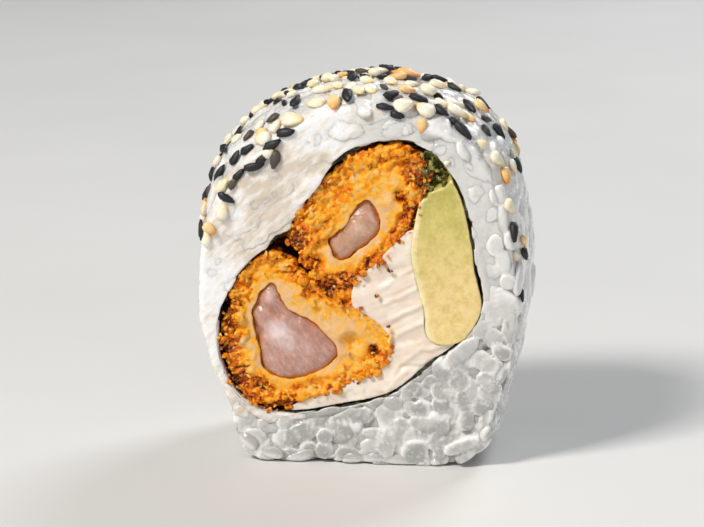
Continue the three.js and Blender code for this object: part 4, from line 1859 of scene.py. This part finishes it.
    def _rim_grains(self, rng: Draws) -> Grains:
        """Lays grains all round the rim, pressed by the rolling mat.

        Args:
            rng: the source of random numbers.

        Returns:
            The grains.
        """
        loop = smooth_loop(RICE_OUTLINE, 900)
        out = outward(loop)
        girth = np.linalg.norm(np.diff(loop[:, :2], axis=0), axis=1).sum()
        wanted = rng.uniform((0, -HALF + 0.6), (girth, HALF - 0.6), (6000, 2))
        picked = spaced(rng, wanted, self.rim_gap)
        index = (picked[:, 0] / girth * len(loop)).astype(int) % len(loop)
        y = picked[:, 1]
        low, slope = fallen(loop[index, 2], y)
        slope *= np.sign(y)
        spot = standing(loop[index, :2] - out[index] * low[:, None], y)
        normal = standing(out[index] * np.cos(slope)[:, None], np.sin(slope))
        around = np.stack([-out[index, 1], np.zeros(len(index)), out[index, 0]], 1)
        count = len(picked)
        axes = frames_on(normal, around, rng.uniform(0, math.pi, count), rng.normal(0, 0.22, count))
        sunk = rng.uniform(0.2, 0.9, count)
        return self._grains(rng, spot, normal, axes, sunk, rng.uniform(-0.1, 0.75, count), 0.4)

    def _face_grains(self, rng: Draws, face: Face) -> Grains:
        """Lays grains on a cut face: some end on, some slanting into it, some lying in it.

        Args:
            rng: the source of random numbers.
            face: the cut face.

        Returns:
            The grains.
        """
        edge = smooth_loop(RICE_OUTLINE, 300)
        edge = edge[:, :2] - outward(edge) * edge[:, 2:]
        wanted = rng.uniform((-25, 0), (25, 56), (12000, 2))
        hole = grown(smooth_loop(NORI_OUTLINE, 200), 0.6)
        room = inside(wanted, grown(edge, -0.7)) & ~inside(wanted, hole)
        picked = spaced(rng, wanted[room], self.face_gap)
        count = len(picked)
        normal = np.tile([0.0, face.value, 0.0], (count, 1))
        along = np.tile([1.0, 0.0, 0.0], (count, 1))
        lying = rng.random(count) > 0.4
        tilt = np.where(lying, rng.normal(0, 0.25, count), rng.uniform(0.5, 1.45, count))
        axes = frames_on(normal, along, rng.uniform(0, 2 * math.pi, count), tilt)
        sunk = np.where(lying, rng.uniform(0.3, 1.2, count), rng.uniform(0, 1.6, count))
        spot = standing(picked, face.value * HALF)
        level = rng.uniform(-0.35, 0.12, count) - 0.2 * (1 - self.looseness(spot))
        return self._grains(rng, spot, normal, axes, sunk, level, 0.24)

    def looseness(self, points: Array) -> Array:
        """Says how clearly the grains stand apart: least over the filling, most at the foot."""
        return 0.25 + 0.75 * ease(38, 22, points[:, 2])

    def glass_shade_share(self, points: Array) -> Array:
        """Says how glassy the rice is painted, as painted shade: most at the foot of the front face, towards
        the right.
        """
        low = 0.25 + 1.15 * ease(27, 14, points[:, 2]) * (0.3 + 0.7 * ease(-17, -9, points[:, 0]))
        front = ease(-HALF + 5, -HALF + 1, points[:, 1])
        return low * front + (0.3 + 0.35 * ease(HALF - 2, HALF, points[:, 1])) * (1 - front)

    def _placed(self, rows: Rows, soft: float) -> Grains:
        """Lays the flakes or grains of a list on the front face.

        Args:
            rows: the list, in the numbers of flakes.
            soft: how gently the flats turn into the sides.

        Returns:
            The flakes or grains.
        """
        size = np.array(rows)
        count = len(size)
        middle = np.array([self.sight.on_face(pixel) for pixel in size[:, :2]])
        half = size[:, 2:4] / self.sight.scale
        normal = np.tile([0.0, -1.0, 0.0], (count, 1))
        along = np.tile([1.0, 0.0, 0.0], (count, 1))
        axes = frames_on(normal, along, np.radians(size[:, 4]), np.zeros(count))
        radii = np.column_stack([half[:, 0], half[:, 1], np.full(count, 1.5)])
        spot = standing(middle, -HALF)
        inward = unit(np.array([self.heart[0], -HALF, self.heart[1]]) - spot)
        lean = unit(normal - inward * size[:, 6:7])
        tops = spot + normal * (0.8 * size[:, 5:6] - 0.14)
        none = np.zeros(count)
        melted = soft + self.melt * (size[:, 6] < 0.06)
        return Grains(spot - normal * 0.4, axes, radii, tops, lean, melted, none, 0.5 * (size[:, 6] > 0.06))

    def _held(self, spots: Array, spare: Array) -> Array:
        """Keeps the grains' points within the rim and the faces, out of the filling and off the floor.

        Args:
            spots: the points, as grains by points by three.
            spare: how far each grain may stand out.

        Returns:
            The points at their new places.
        """
        held = spots.reshape(-1, 3).copy()
        room = np.repeat(spare, spots.shape[1])
        rim, hole = smooth_loop(RICE_OUTLINE, 500), smooth_loop(NORI_OUTLINE, 300)
        near = nearest_on(held[:, [0, 2]], rim)
        past = ((held[:, [0, 2]] - rim[near, :2]) * outward(rim)[near]).sum(1)
        past += rim[near, 2] * (np.abs(held[:, 1]) / HALF) ** 4 - room
        held[:, [0, 2]] -= outward(rim)[near] * 0.88 * excess(past, 0.12)[:, None]
        lip = 0.5 * room + 0.12 + 0.7 * self._lip_share(held)
        deep = depth_within(held[:, [0, 2]], hole) - lip
        wrong = deep > -0.4
        near = nearest_on(held[wrong][:, [0, 2]], hole)
        moved = held[wrong]
        moved[:, [0, 2]] += outward(hole)[near] * 0.9 * excess(deep[wrong], 0.1)[:, None]
        held[wrong] = moved
        proud = np.abs(held[:, 1]) - HALF - 0.1 - room
        held[:, 1] -= np.sign(held[:, 1]) * 0.9 * excess(proud, 0.08)
        held[:, 2] += 0.94 * excess(0.4 * (room + 0.16) - held[:, 2], 0.05)
        return held.reshape(spots.shape)

    def _heap(
        self, name: str, grains: Grains, shape: Spindle, uneven: float, smeared: float, voxel: float
    ) -> Piece:
        """Makes many grains or flakes into one piece and dresses it.

        Args:
            name: the piece's name.
            grains: the grains.
            shape: the shape that all of them start from.
            uneven: how lumpy they are, in millimetres.
            smeared: 1 for flakes of the smear and 0 for grains.
            voxel: the size of the cells of their common skin, in millimetres.

        Returns:
            The piece.
        """
        spots, depth = grains.shaped(shape, uneven, 1.0 if smeared else 1.9)
        spots = self._held(spots, grains.spare)
        points = spots.reshape(-1, 3)
        fine = (0.05 + 0.06 * smeared) * Relief(1.6, 3).waves(points)
        points = points + np.repeat(grains.leans, spots.shape[1], 0) * fine[:, None]
        piece = copies(name, points.reshape(spots.shape), shape.faces())
        tone = np.repeat(np.random.default_rng(12).random(len(grains)), spots.shape[1])
        turn = (depth / grains.soft[:, None]).ravel()
        clear = self.glass_shade_share(points)
        lit = np.repeat(np.random.default_rng(13).random(len(grains)), spots.shape[1])
        fused(piece, voxel, {
            # Painted shade: greyer glassy middles, varied by grain.
            "glass": ease(1.4, 0.4, turn) * (0.5 + 0.5 * tone) * clear,
            # Painted highlight along each grain's edge, stronger on some grains than on others.
            "border": ease(0.5, 1.1, turn) * ease(7.0, 4.0, turn) * (0.5 + 0.5 * lit) * (1 - 0.7 * smeared),
            # Painted shade down the grains' sides, darker the deeper below each top.
            "gap": 0.8 * ease(0.6, 1.3, depth.ravel()) * (1 - smeared),
        })
        points = coords(piece)
        paint(piece, "smear", np.full(len(points), smeared))
        self._milk(piece, points)
        return dressed(piece, RiceFinish().material(), "rice")

    def _milk(self, piece: Piece, points: Array) -> None:
        """Paints where the smear is milky, partly its own tone and partly painted light."""
        cloudy = patched(self.sight, points[:, [0, 2]], np.full(len(points), 0.5), self.milky_and_lit, 0.15)
        paint(piece, "milk", np.clip(cloudy + 0.35 * Relief(3.0, 15).waves(points), 0, 1))

    def _bed(self, name: str, base: Array, lifts: Array) -> Piece:
        """Makes one half of the crushed rice that the grains lie in, smooth where it is smeared.

        Args:
            name: the piece's name.
            base: the half's smooth surface, as columns by rows by three.
            lifts: the direction in which each of its points may rise.

        Returns:
            The piece.
        """
        spots, ways = base.reshape(-1, 3), lifts.reshape(-1, 3)
        share = self.smear_share(spots)
        near, own = Relief(1.7, 27).cells(spots)
        rim = 1 - np.abs(ways[:, 1])
        deep = self.bed_step * (own - 0.5) - self.bed_round * near - self.bed_depth
        deep = deep * self.looseness(spots) - self.bed_depth * rim
        brink = ease(1.2, 0.4, -depth_within(spots[:, [0, 2]], smooth_loop(NORI_OUTLINE, 300))) * (1 - rim)
        height = (deep * (1 - brink) - 0.1 * brink) * (1 - share)
        smooth = 0.06 + 0.16 * Relief(3.4, 4).waves(spots) + 0.05 * Relief(0.8, 3).waves(spots)
        height += share * smooth
        front = spots[:, 1] < -HALF + 0.1
        hollow = patched(self.sight, spots[:, [0, 2]], np.zeros(len(spots)), self.holes, 0.4) * front
        points = spots + ways * (height - self.hole_depth * hollow)[:, None]
        points[:, 2] = np.maximum(points[:, 2], 0)
        piece = banded(name, points.reshape(base.shape))
        softened(piece, 1)
        nothing = np.zeros(len(points))
        # Painted shade: a greyer glassy bed, except where it is smeared.
        paint(piece, "glass", (0.05 + 0.7 * self.glass_shade_share(points)) * (1 - share))
        # No painted edge highlight on the bed.
        paint(piece, "border", nothing)
        # Painted shade on the bed between the grains and in the holes.
        paint(piece, "gap", np.clip(0.2 * self.looseness(spots) + hollow, 0, 1) * (1 - share))
        paint(piece, "smear", share)
        self._milk(piece, points)
        return dressed(piece, RiceFinish().material(), "rice")

    def build(self) -> list[Piece]:
        """Packs the grains, with those that show in the photo in their own places, and makes the pieces."""
        rng = np.random.default_rng(4161)
        rim, front, back = self._rim_grains(rng), *(self._face_grains(rng, face) for face in Face)
        marked, flakes = self._placed(self.marked, 0.22), self._placed(self.flakes, 0.13)
        hidden = Grains.together(marked, flakes).within(front.tops * [1, 0, 1] - [0, HALF, 0], 0.7)
        smeared = self.smear_share(front.tops) > 0.5
        front = Grains.together(front.picked(~hidden & ~smeared), marked)
        clear = rim.picked(self.smear_share(rim.centres - [0, 0.4, 0]) < 0.5)
        fine, coarse = Spindle(sides=18, rings=10), Spindle(sides=12, rings=8)
        return [
            self._bed("rice_front_bed", *self.half(Face.FRONT, self.seam, 620, (14, 5, 34, 5))),
            self._bed("rice_back_bed", *self.half(Face.BACK, self.seam - 0.5, 380, (22, 4, 16, 6))),
            self._heap("rice_face_grains", front, fine, self.face_lumps, 0.0, 0.18),
            self._heap("rice_rim_grains", clear, coarse, self.rim_lumps, 0.0, 0.4),
            self._heap("rice_back_grains", back, fine, self.face_lumps, 0.0, 0.24),
            self._heap("rice_smear", flakes, Spindle(sides=72, rings=12, blunt=2.6), 0.3, 1.0, 0.17),
        ]


# The sesame.
class Coat(Enum):
    """The kinds of sesame, with the words that name their pieces."""

    BLACK = "black_sesame"
    WHITE = "white_sesame"
    TOASTED = "toasted_sesame"


@dataclass
class Sesame:
    """Sesame over the crown and shoulders: the seeds that show are laid one by one, the rest by rule."""

    sight: Sight
    rice: Sequence[Piece]
    far_gap: float = 1.95
    far_count: int = 150
    black_share: float = 0.48
    white_share: float = 0.39
    reach: float = 14.0
    black_size: Triple = (2.75, 1.36, 0.95)
    pale_size: Triple = (2.75, 1.85, 1.05)

    # The seeds that show at the front: the middle in pixels of the frame, the tip's angle in degrees
    # and the seed's share of the usual size.
    black: Sequence[Seed] = (
        (309, 76.3, 60, 0.9), (298.3, 87.8, 50, 1), (286.9, 92.5, 95, 0.75), (284.8, 104, 88, 0.65),
        (296.4, 103, 58, 1.1), (286.4, 133.2, 5, 1.1), (273, 145.2, 25, 1.1), (262.5, 159, 45, 0.9),
        (254.3, 166.2, 10, 1.1), (240, 175, 45, 0.9), (248.6, 150, 30, 0.95), (236, 158.6, 60, 0.9),
        (221.8, 173.9, 62, 1.15), (226.5, 197.5, -30, 0.95), (347.8, 69.4, 0, 1), (353, 79, 70, 1.1),
        (371.4, 67.4, 20, 0.7), (347.8, 98, -80, 1.15), (391, 96.8, 22, 1.1), (385.8, 108.6, -10, 0.9),
        (397.5, 115, -15, 0.8), (426.3, 79.8, 15, 0.95), (430, 73.5, 0, 0.9), (441, 77, -15, 0.9),
        (453.7, 89.6, -33, 1.1), (439.3, 98, -50, 0.7), (418.4, 101, -20, 1.1), (440, 112.5, -38, 1.1),
        (468.1, 108.6, -50, 1.1), (481.2, 103.4, -45, 0.95), (461.6, 132.1, -50, 1.3),
        (456.5, 125, -35, 1.1), (485.1, 132.1, -60, 0.9), (498.2, 133.4, -62, 1.1),
        (515.8, 166.1, -65, 1.1), (511.5, 233, -86, 1.1), (522.7, 254, -68, 0.9),
        (519.5, 295.4, -85, 0.8), (327, 69.5, 10, 0.95), (338, 69, -5, 0.95), (320, 72.5, 35, 0.85),
    )
    brown: Sequence[Seed] = (
        (275.4, 159.5, -105, 1.15), (273.5, 119.3, -150, 0.85), (249.5, 136.6, -130, 0.9),
        (361.6, 71.3, -5, 0.85), (384.4, 89, -40, 0.8), (397.5, 100, 35, 0.8), (485.1, 120.4, -20, 0.85),
        (233.3, 183.4, 60, 0.75),
    )
    white: Sequence[Seed] = (
        (292.6, 95.4, 100, 0.8), (328, 80, 92, 1.1), (313.7, 86.8, -120, 1.1), (323.2, 92, 5, 1.1),
        (338.5, 87.8, -45, 0.95), (315.6, 105, 178, 1.2), (293.6, 121.2, -3, 1.2), (277.3, 127, 60, 0.9),
        (263.9, 139.4, 180, 1.1), (261, 126, 70, 0.85), (224.7, 186, 50, 1.15), (222.9, 211.9, 70, 0.85),
        (379.2, 74.6, 10, 1.2), (359.6, 92.9, -70, 1), (371.4, 91.6, -50, 1), (391, 83.8, -30, 1),
        (404, 107.3, 20, 1.25), (423.7, 112.5, 150, 1.35), (426.3, 91.6, 125, 1.2), (438, 87, -15, 1),
        (440.6, 106, -20, 1), (455, 106.6, -12, 1.05), (456.3, 114, -30, 1.2), (502.1, 125.6, -60, 0.8),
        (479.9, 145.2, 20, 0.85), (495.6, 159.6, -35, 1.1), (511.2, 167.4, -70, 0.9),
        (511.2, 154.3, -50, 0.7), (507.5, 207, -60, 0.9), (515.5, 255.5, -70, 0.6), (207, 239, 80, 0.7),
        (367, 82, -20, 0.9), (412, 86, 0, 0.9), (447.2, 162.8, 20, 0.35), (269, 152, 40, 0.8),
        (352, 88, 60, 0.9),
    )
    toasted: Sequence[Seed] = (
        (334.7, 105, -92, 1.2), (262, 133.5, 160, 0.85), (210.2, 228.6, -40, 0.95),
        (408, 77.2, -12, 1.25), (441.3, 81.1, -20, 0.7), (422.4, 125.6, -90, 0.8), (406.7, 91.6, -10, 1),
        (479.9, 108.6, -42, 1.1), (503.4, 176.6, -80, 1.15), (521.9, 241.2, -80, 0.75),
        (343, 77, -60, 0.9), (470, 120, -40, 0.7),
    )

    def __post_init__(self) -> None:
        """Prepares the rice for finding places on it."""
        points: list[list[float]] = []
        faces: list[tuple[int, ...]] = []
        for piece in self.rice:
            faces += [tuple(i + len(points) for i in face.vertices) for face in piece.data.polygons]
            points += coords(piece).tolist()
        self._tree = BVHTree.FromPolygons(points, faces)
        self._skin = smooth_loop(RICE_OUTLINE, 900)
        self._out = outward(self._skin)

    def _way_out(self, spot: Array) -> Array:
        """Gives the smooth skin's outward direction beside a place."""
        index = ((self._skin[:, :2] - spot[[0, 2]]) ** 2).sum(1).argmin()
        slope = fallen(self._skin[index, 2], spot[1])[1] * np.sign(spot[1])
        level = self._out[index] * math.cos(slope)
        return np.array([level[0], math.sin(slope), level[1]])

    def _seen(self, pixel: Pixel) -> tuple[Array, Array]:
        """Finds the place on the rice that a pixel of the frame shows, or the nearest one inwards.

        Args:
            pixel: the pixel.

        Returns:
            The place and the rice's own normal there.
        """
        pixel = np.array(pixel)
        inwards = unit(np.array(self.sight.aim_pixel) - pixel)
        for step in range(24):
            eye, way = self.sight.ray(pixel + inwards * step)
            hit, normal, _, _ = self._tree.ray_cast(Vector(eye), Vector(way))
            if hit is not None:
                return np.array(hit), np.array(normal)
        raise ValueError(f"no rice is seen near {pixel}")

    def _laid(self, seeds: Sequence[Seed]) -> list[Laid]:
        """Lays the seeds that show, each flat on the rice with its tip at its angle in the frame.

        Args:
            seeds: the seeds, in the numbers of the lists above.

        Returns:
            The laid seeds.
        """
        right, up, back = self.sight.axes()
        result = []
        for across, down, angle, share in seeds:
            spot, own = self._seen((across, down))
            smooth = self._way_out(spot)
            front = np.array([0.0, -1.0, 0.0])
            facing = max(0.0, min(1.0, (-own[1] - 0.55) / 0.35))
            normal = unit(smooth * (1 - facing) + front * facing + 0.25 * own)
            turn = math.radians(angle)
            seen = right * math.cos(turn) + up * math.sin(turn)
            length = unit(np.cross(np.cross(-back, seen), normal))
            length = length if length @ seen > 0 else -length
            width = np.cross(normal, length)
            result.append((spot, np.stack([length, width, normal]), share))
        return result

    def _scattered(self, rng: Draws, taken: Array, count: int) -> list[Laid]:
        """Scatters seeds over the crown, thinning down the shoulders, clear of those already taken.

        Args:
            rng: the source of random numbers.
            taken: the places that already have a seed.
            count: how many seeds are wanted.

        Returns:
            The laid seeds.
        """
        result = []
        for _ in range(12000):
            if len(result) == count:
                break
            turn, y = rng.uniform(0.27, 0.72), rng.uniform(-8, HALF - 0.5)
            likely = min(1.0, (0.72 - turn) / 0.12) * ease(0.33, 0.44, turn)
            if rng.random() > likely or (turn < 0.62 and y < 0) or (turn < 0.46 and y < 9):
                continue
            index = int(turn * len(self._skin))
            level = self._skin[index, :2] + self._out[index] * 6
            start = np.array([level[0], y, level[1]])
            way = -np.array([self._out[index, 0], 0, self._out[index, 1]])
            hit, _, _, _ = self._tree.ray_cast(Vector(start), Vector(way), self.reach)
            if hit is None:
                continue
            spot = np.array(hit)
            if ((taken - spot) ** 2).sum(1).min() < self.far_gap**2:
                continue
            taken = np.vstack([taken, spot])
            normal = unit(self._way_out(spot) + rng.normal(0, 0.13, 3))
            length = unit(np.cross(normal, rng.normal(size=3)))
            axes = np.stack([length, np.cross(normal, length), normal])
            result.append((spot, axes, rng.uniform(0.85, 1.15)))
        return result

    def _piece(
        self, name: str, seeds: Sequence[Laid], tones: Array,
        finish: SeedFinish, slot: str, rng: Draws, taper: float, size: Triple,
    ) -> Piece:
        """Joins seeds of one kind into one piece and dresses it.

        Args:
            name: the piece's name.
            seeds: the laid seeds.
            tones: how odd each seed's colour is.
            finish: the seeds' coat.
            slot: black_sesame for the wrinkled black seeds, white_sesame for the others.
            rng: the source of random numbers.
            taper: how much slimmer the tip's end is.
            size: a usual seed's length, width and thickness.

        Returns:
            The piece.
        """
        shape = Spindle(taper=taper)
        own = shape.points()
        half = np.array(size) / 2
        wrinkled = 0.14 if slot == "black_sesame" else 0.04
        laid = []
        for spot, axes, share in seeds:
            radii = half * share * rng.uniform(0.88, 1.12, 3)
            bulge = own * rng.uniform(1 - wrinkled, 1 + wrinkled, (len(own), 1))
            bulge[:, 2] += 0.25 * (rng.random() - 0.5) * own[:, 0] ** 2
            centre = spot + axes[2] * radii[2] * 0.8
            laid.append(centre + (bulge * radii) @ axes)
        piece = copies(name, np.array(laid), shape.faces())
        paint(piece, "tip", np.tile((own[:, 0] + 1) / 2, len(seeds)))
        paint(piece, "tone", np.repeat(tones, len(own)))
        return dressed(piece, finish.material(), "rice")

    def build(self) -> None:
        """Lays all the sesame."""
        rng = np.random.default_rng(83)
        shown = {
            Coat.BLACK: self._laid(self.black) + self._laid(self.brown),
            Coat.WHITE: self._laid(self.white),
            Coat.TOASTED: self._laid(self.toasted),
        }
        taken = np.array([seed[0] for seeds in shown.values() for seed in seeds])
        far = self._scattered(rng, taken, self.far_count)
        dark = np.concatenate([np.zeros(len(self.black)), np.full(len(self.brown), 1.0)])
        last = int(self.black_share * len(far))
        next_last = int((self.black_share + self.white_share) * len(far))
        parts = {Coat.BLACK: far[:last], Coat.WHITE: far[last:next_last], Coat.TOASTED: far[next_last:]}
        finishes = {
            Coat.BLACK: SeedFinish(
                "black_seed", (0.012, 0.012, 0.016), (0.008, 0.008, 0.010), (0.085, 0.062, 0.052), 0.5, 0.0,
            ),
            Coat.WHITE: SeedFinish(
                "white_seed", (0.98, 0.87, 0.72), (0.97, 0.66, 0.27), (0.97, 0.76, 0.46), 0.34, 0.8,
            ),
            Coat.TOASTED: SeedFinish(
                "toasted_seed", (0.97, 0.70, 0.36), (0.90, 0.33, 0.02), (0.90, 0.36, 0.03), 0.32, 0.6,
            ),
        }
        for coat, seeds in shown.items():
            every = seeds + parts[coat]
            tones = rng.random(len(every)) ** 2 * 0.5
            if coat is Coat.BLACK:
                tones = (tones > 0.42) * 1.0
                tones[: len(dark)] = dark
            slot = "black_sesame" if coat is Coat.BLACK else "white_sesame"
            taper = 0.25 if coat is Coat.BLACK else 0.42
            size = self.black_size if coat is Coat.BLACK else self.pale_size
            self._piece(coat.value, every, tones, finishes[coat], slot, rng, taper, size)


@dataclass
class Studio:
    """The pale floor, the soft lights and the camera at the photo's angle."""

    sight: Sight
    sensor: float = 36.0

    def camera(self) -> None:
        """Sets the camera where the photo was taken from, with its aim at the photo's own pixel."""
        sight = self.sight
        back = Vector(sight.axes()[2])
        data = bpy.data.cameras.new("camera")
        width, height = sight.frame_pixels
        data.sensor_width = self.sensor
        data.lens = sight.scale * sight.distance * self.sensor / width
        data.shift_x = (width / 2 - sight.aim_pixel[0]) / width
        data.shift_y = (sight.aim_pixel[1] - height / 2) / width
        data.clip_start, data.clip_end = 0.01, 20
        camera = bpy.data.objects.new("camera", data)
        bpy.context.scene.collection.objects.link(camera)
        camera.location = (Vector(sight.aim) + back * sight.distance) * MM
        camera.rotation_euler = back.to_track_quat("Z", "Y").to_euler()
        bpy.context.scene.camera = camera

    def lamp(self, name: str, place: Triple, size: float, power: float, colour: Colour) -> None:
        """Adds a soft square lamp that faces the roll.

        Args:
            name: the lamp's name.
            place: where it hangs, in metres.
            size: its side in metres.
            power: its power in watts.
            colour: its colour.
        """
        data = bpy.data.lights.new(name, "AREA")
        data.size, data.energy, data.color = size, power, colour
        lamp = bpy.data.objects.new(name, data)
        bpy.context.scene.collection.objects.link(lamp)
        lamp.location = place
        lamp.rotation_euler = (Vector(place) - Vector((0, 0, 0.027))).to_track_quat("Z", "Y").to_euler()

    def floor(self) -> None:
        """Models the floor, a wide sheet with a faint cloudiness."""
        deselect()
        bpy.ops.mesh.primitive_plane_add(size=4, location=(0, 0, 0))
        sheet = bpy.context.object
        sheet.name = "floor"
        with editing(sheet):
            bpy.ops.mesh.subdivide(number_cuts=3)
        shader = Shader("pale_floor")
        cloud = ((0.3, (0.70, 0.69, 0.67)), (0.7, (0.73, 0.72, 0.70)))
        shader.put("Base Color", shader.ramp(shader.noise(60, 2), cloud))
        shader.set(Roughness=0.6)
        sheet.data.materials.append(shader.material)

    def build(self) -> None:
        """Sets the stage."""
        self.floor()
        self.camera()
        self.lamp("key", (-0.45, -0.5, 0.7), 0.22, 8.4, (1.0, 0.97, 0.93))
        self.lamp("fill", (0.7, -0.5, 0.35), 0.5, 1.2, (0.88, 0.94, 1.0))
        self.lamp("rim", (0.3, 0.6, 0.6), 0.3, 3.5, (0.92, 0.96, 1.0))
        world = bpy.data.worlds.new("studio")
        world.use_nodes = True
        world.node_tree.nodes["Background"].inputs["Color"].default_value = (0.86, 0.88, 0.9, 1)
        world.node_tree.nodes["Background"].inputs["Strength"].default_value = 0.22
        bpy.context.scene.world = world
        bpy.context.scene.view_settings.view_transform = "Standard"
        LOG.info("studio is set")


def shrimps(sight: Sight) -> list[ShrimpMeat | ShrimpCrust | LooseCrumbs]:
    """Lists the two breaded shrimps' pieces, with what shows on their faces in pixels of the frame.

    Args:
        sight: the view whose pixels name the places.

    Returns:
        The pieces, ready to be built.
    """
    upper_patches = patches(
        (345, 180, 18, 0.31), (322, 205, 14, 0.36), (378, 160, 14, 0.36), (340, 205, 10, 0.3),
        (325, 228, 9, 0.4), (360, 188, 9, 0.28), (303, 234, 13, 1), (317, 241, 6, 0.7),
        (330, 172, 8, 0.66), (352, 157, 7, 0.65), (297, 247, 12, 0.75), (341, 284, 11, 0.6),
        (408, 152, 11, 0.72), (416, 176, 12, 0.82), (397, 182, 10, 0.12), (388, 205, 9, 0.04),
        (320, 250, 6, 0), (332, 268, 6, 0.08), (349, 268, 8, 0.12), (378, 236, 7, 0.08),
        (406, 224, 9, 0.38), (300, 218, 8, 0.68), (398, 196, 5, 0.7), (390, 245, 8, 0.42),
    )
    lower_patches = patches(
        (262, 272, 9, 0.14), (244, 290, 9, 0.42), (277, 259, 9, 0.55), (288, 293, 6, 0),
        (304, 308, 7, 0), (331, 327, 12, 0.02), (349, 356, 12, 0.02), (325, 366, 10, 0.04),
        (313, 295, 9, 0.5), (326, 310, 8, 0.16), (355, 322, 12, 0.02), (380, 320, 8, 0.06),
        (383, 336, 9, 0.03), (373, 351, 4, 0.6), (228, 318, 10, 0.76), (234, 336, 9, 0.58),
        (226, 349, 8, 0.8), (234, 364, 9, 0.58), (244, 383, 10, 0.75), (262, 388, 9, 0.75),
        (264, 406, 9, 0.4), (250, 348, 8, 0.3), (267, 379, 7, 0.15), (283, 384, 8, 0.06),
        (295, 392, 8, 0.42), (313, 384, 8, 0.4), (331, 384, 8, 0.45), (349, 375, 8, 0.34),
        (288, 399, 8, 0.55), (366, 368, 8, 0.42),
    )
    upper_pits = patches(
        (291, 263, 5, 1), (329, 243, 4, 0.7), (401, 200, 4, 0.6), (318, 262, 5, 0.5),
    )
    lower_pits = patches((350, 343, 6, 1.0), (373, 351, 4, 0.7), (230, 330, 4, 0.6))
    fillers = (
        (-12, 31.6, 6.8, -6, HALF - 3), (-4, 25.6, 6, -11.9, HALF - 2), (0.5, 25.4, 4, -11.9, HALF - 2),
    )
    pale_meat = MeatFinish(
        "upper_meat", (0.56, 0.315, 0.20), (0.84, 0.64, 0.52), (0.46, 0.19, 0.08), (0.26, 0.07, 0.02),
    )
    pink_meat = MeatFinish(
        "lower_meat", (0.53, 0.275, 0.21), (0.95, 0.84, 0.83), (0.50, 0.22, 0.11), (0.85, 0.18, 0.02),
    )
    return [
        ShrimpMeat(
            sight, "upper_shrimp_meat", "upper_shrimp", UPPER_SHRIMP, pale_meat,
            patches((357, 228, 12, 0.4), (345, 247, 10, 0.15), (372, 212, 8, -0.2)),
            (((372, 205), (377, 218)),),
            patches((357, 229, 7, 0.7), (368, 215, 5, 0.4)),
            patches((338, 246, 1.5, 1.0), (336, 256, 1.5, 1.0), (341, 238, 1.2, 0.8)),
        ),
        ShrimpMeat(
            sight, "lower_shrimp_meat", "lower_shrimp", LOWER_SHRIMP, pink_meat,
            patches(
                (270, 296, 7, 0.35), (258, 315, 7, 0.25), (283, 336, 14, 0.5), (315, 350, 12, 0.3),
                (285, 365, 14, 0.2),
            ),
            (((257, 305), (266, 309), (281, 315)), ((252, 322), (259, 333), (254, 347))),
            patches((277, 332, 9, 1.3), (287, 342, 8, 0.8), (270, 296, 5, 0.7), (300, 350, 10, 0.25)),
            patches(
                (304, 319, 3.5, 1.0), (313, 325, 3.5, 1.0), (297, 314, 3, 0.6), (265, 340, 2, 0.5),
                (291, 357, 2, 0.5),
            ),
        ),
        ShrimpCrust(
            sight, "upper_shrimp_crust", "upper_crust", UPPER_CRUST, UPPER_SHRIMP, upper_patches, upper_pits,
            52, 42, voxel=0.2,
        ),
        ShrimpCrust(
            sight, "lower_shrimp_crust", "lower_crust", LOWER_CRUST, LOWER_SHRIMP, lower_patches, lower_pits,
            91, 20, fillers,
        ),
        LooseCrumbs(sight, "upper_loose_crumbs", "upper_crust", UPPER_CRUST, UPPER_SHRIMP, 17),
        LooseCrumbs(
            sight, "lower_loose_crumbs", "lower_crust", LOWER_CRUST, LOWER_SHRIMP, 29, 100,
            ((218, 338), (221, 341), (229, 382), (232, 384), (262, 408), (268, 411), (388, 270), (392, 271),
             (240, 404), (270, 409), (377, 296), (392, 352)),
        ),
    ]


def main() -> None:
    """Builds the roll piece by piece and sets the stage."""
    logging.basicConfig(level=logging.INFO, format="%(name)s: %(message)s")
    sight = Sight()
    rice = RiceRing(sight).build()
    Sesame(sight, rice).build()
    NoriSheet(sight).build()
    for piece in shrimps(sight):
        piece.build()
    AvocadoSlice().build()
    CreamCheese(sight).build()
    Studio(sight).build()


if __name__ == "__main__":
    main()
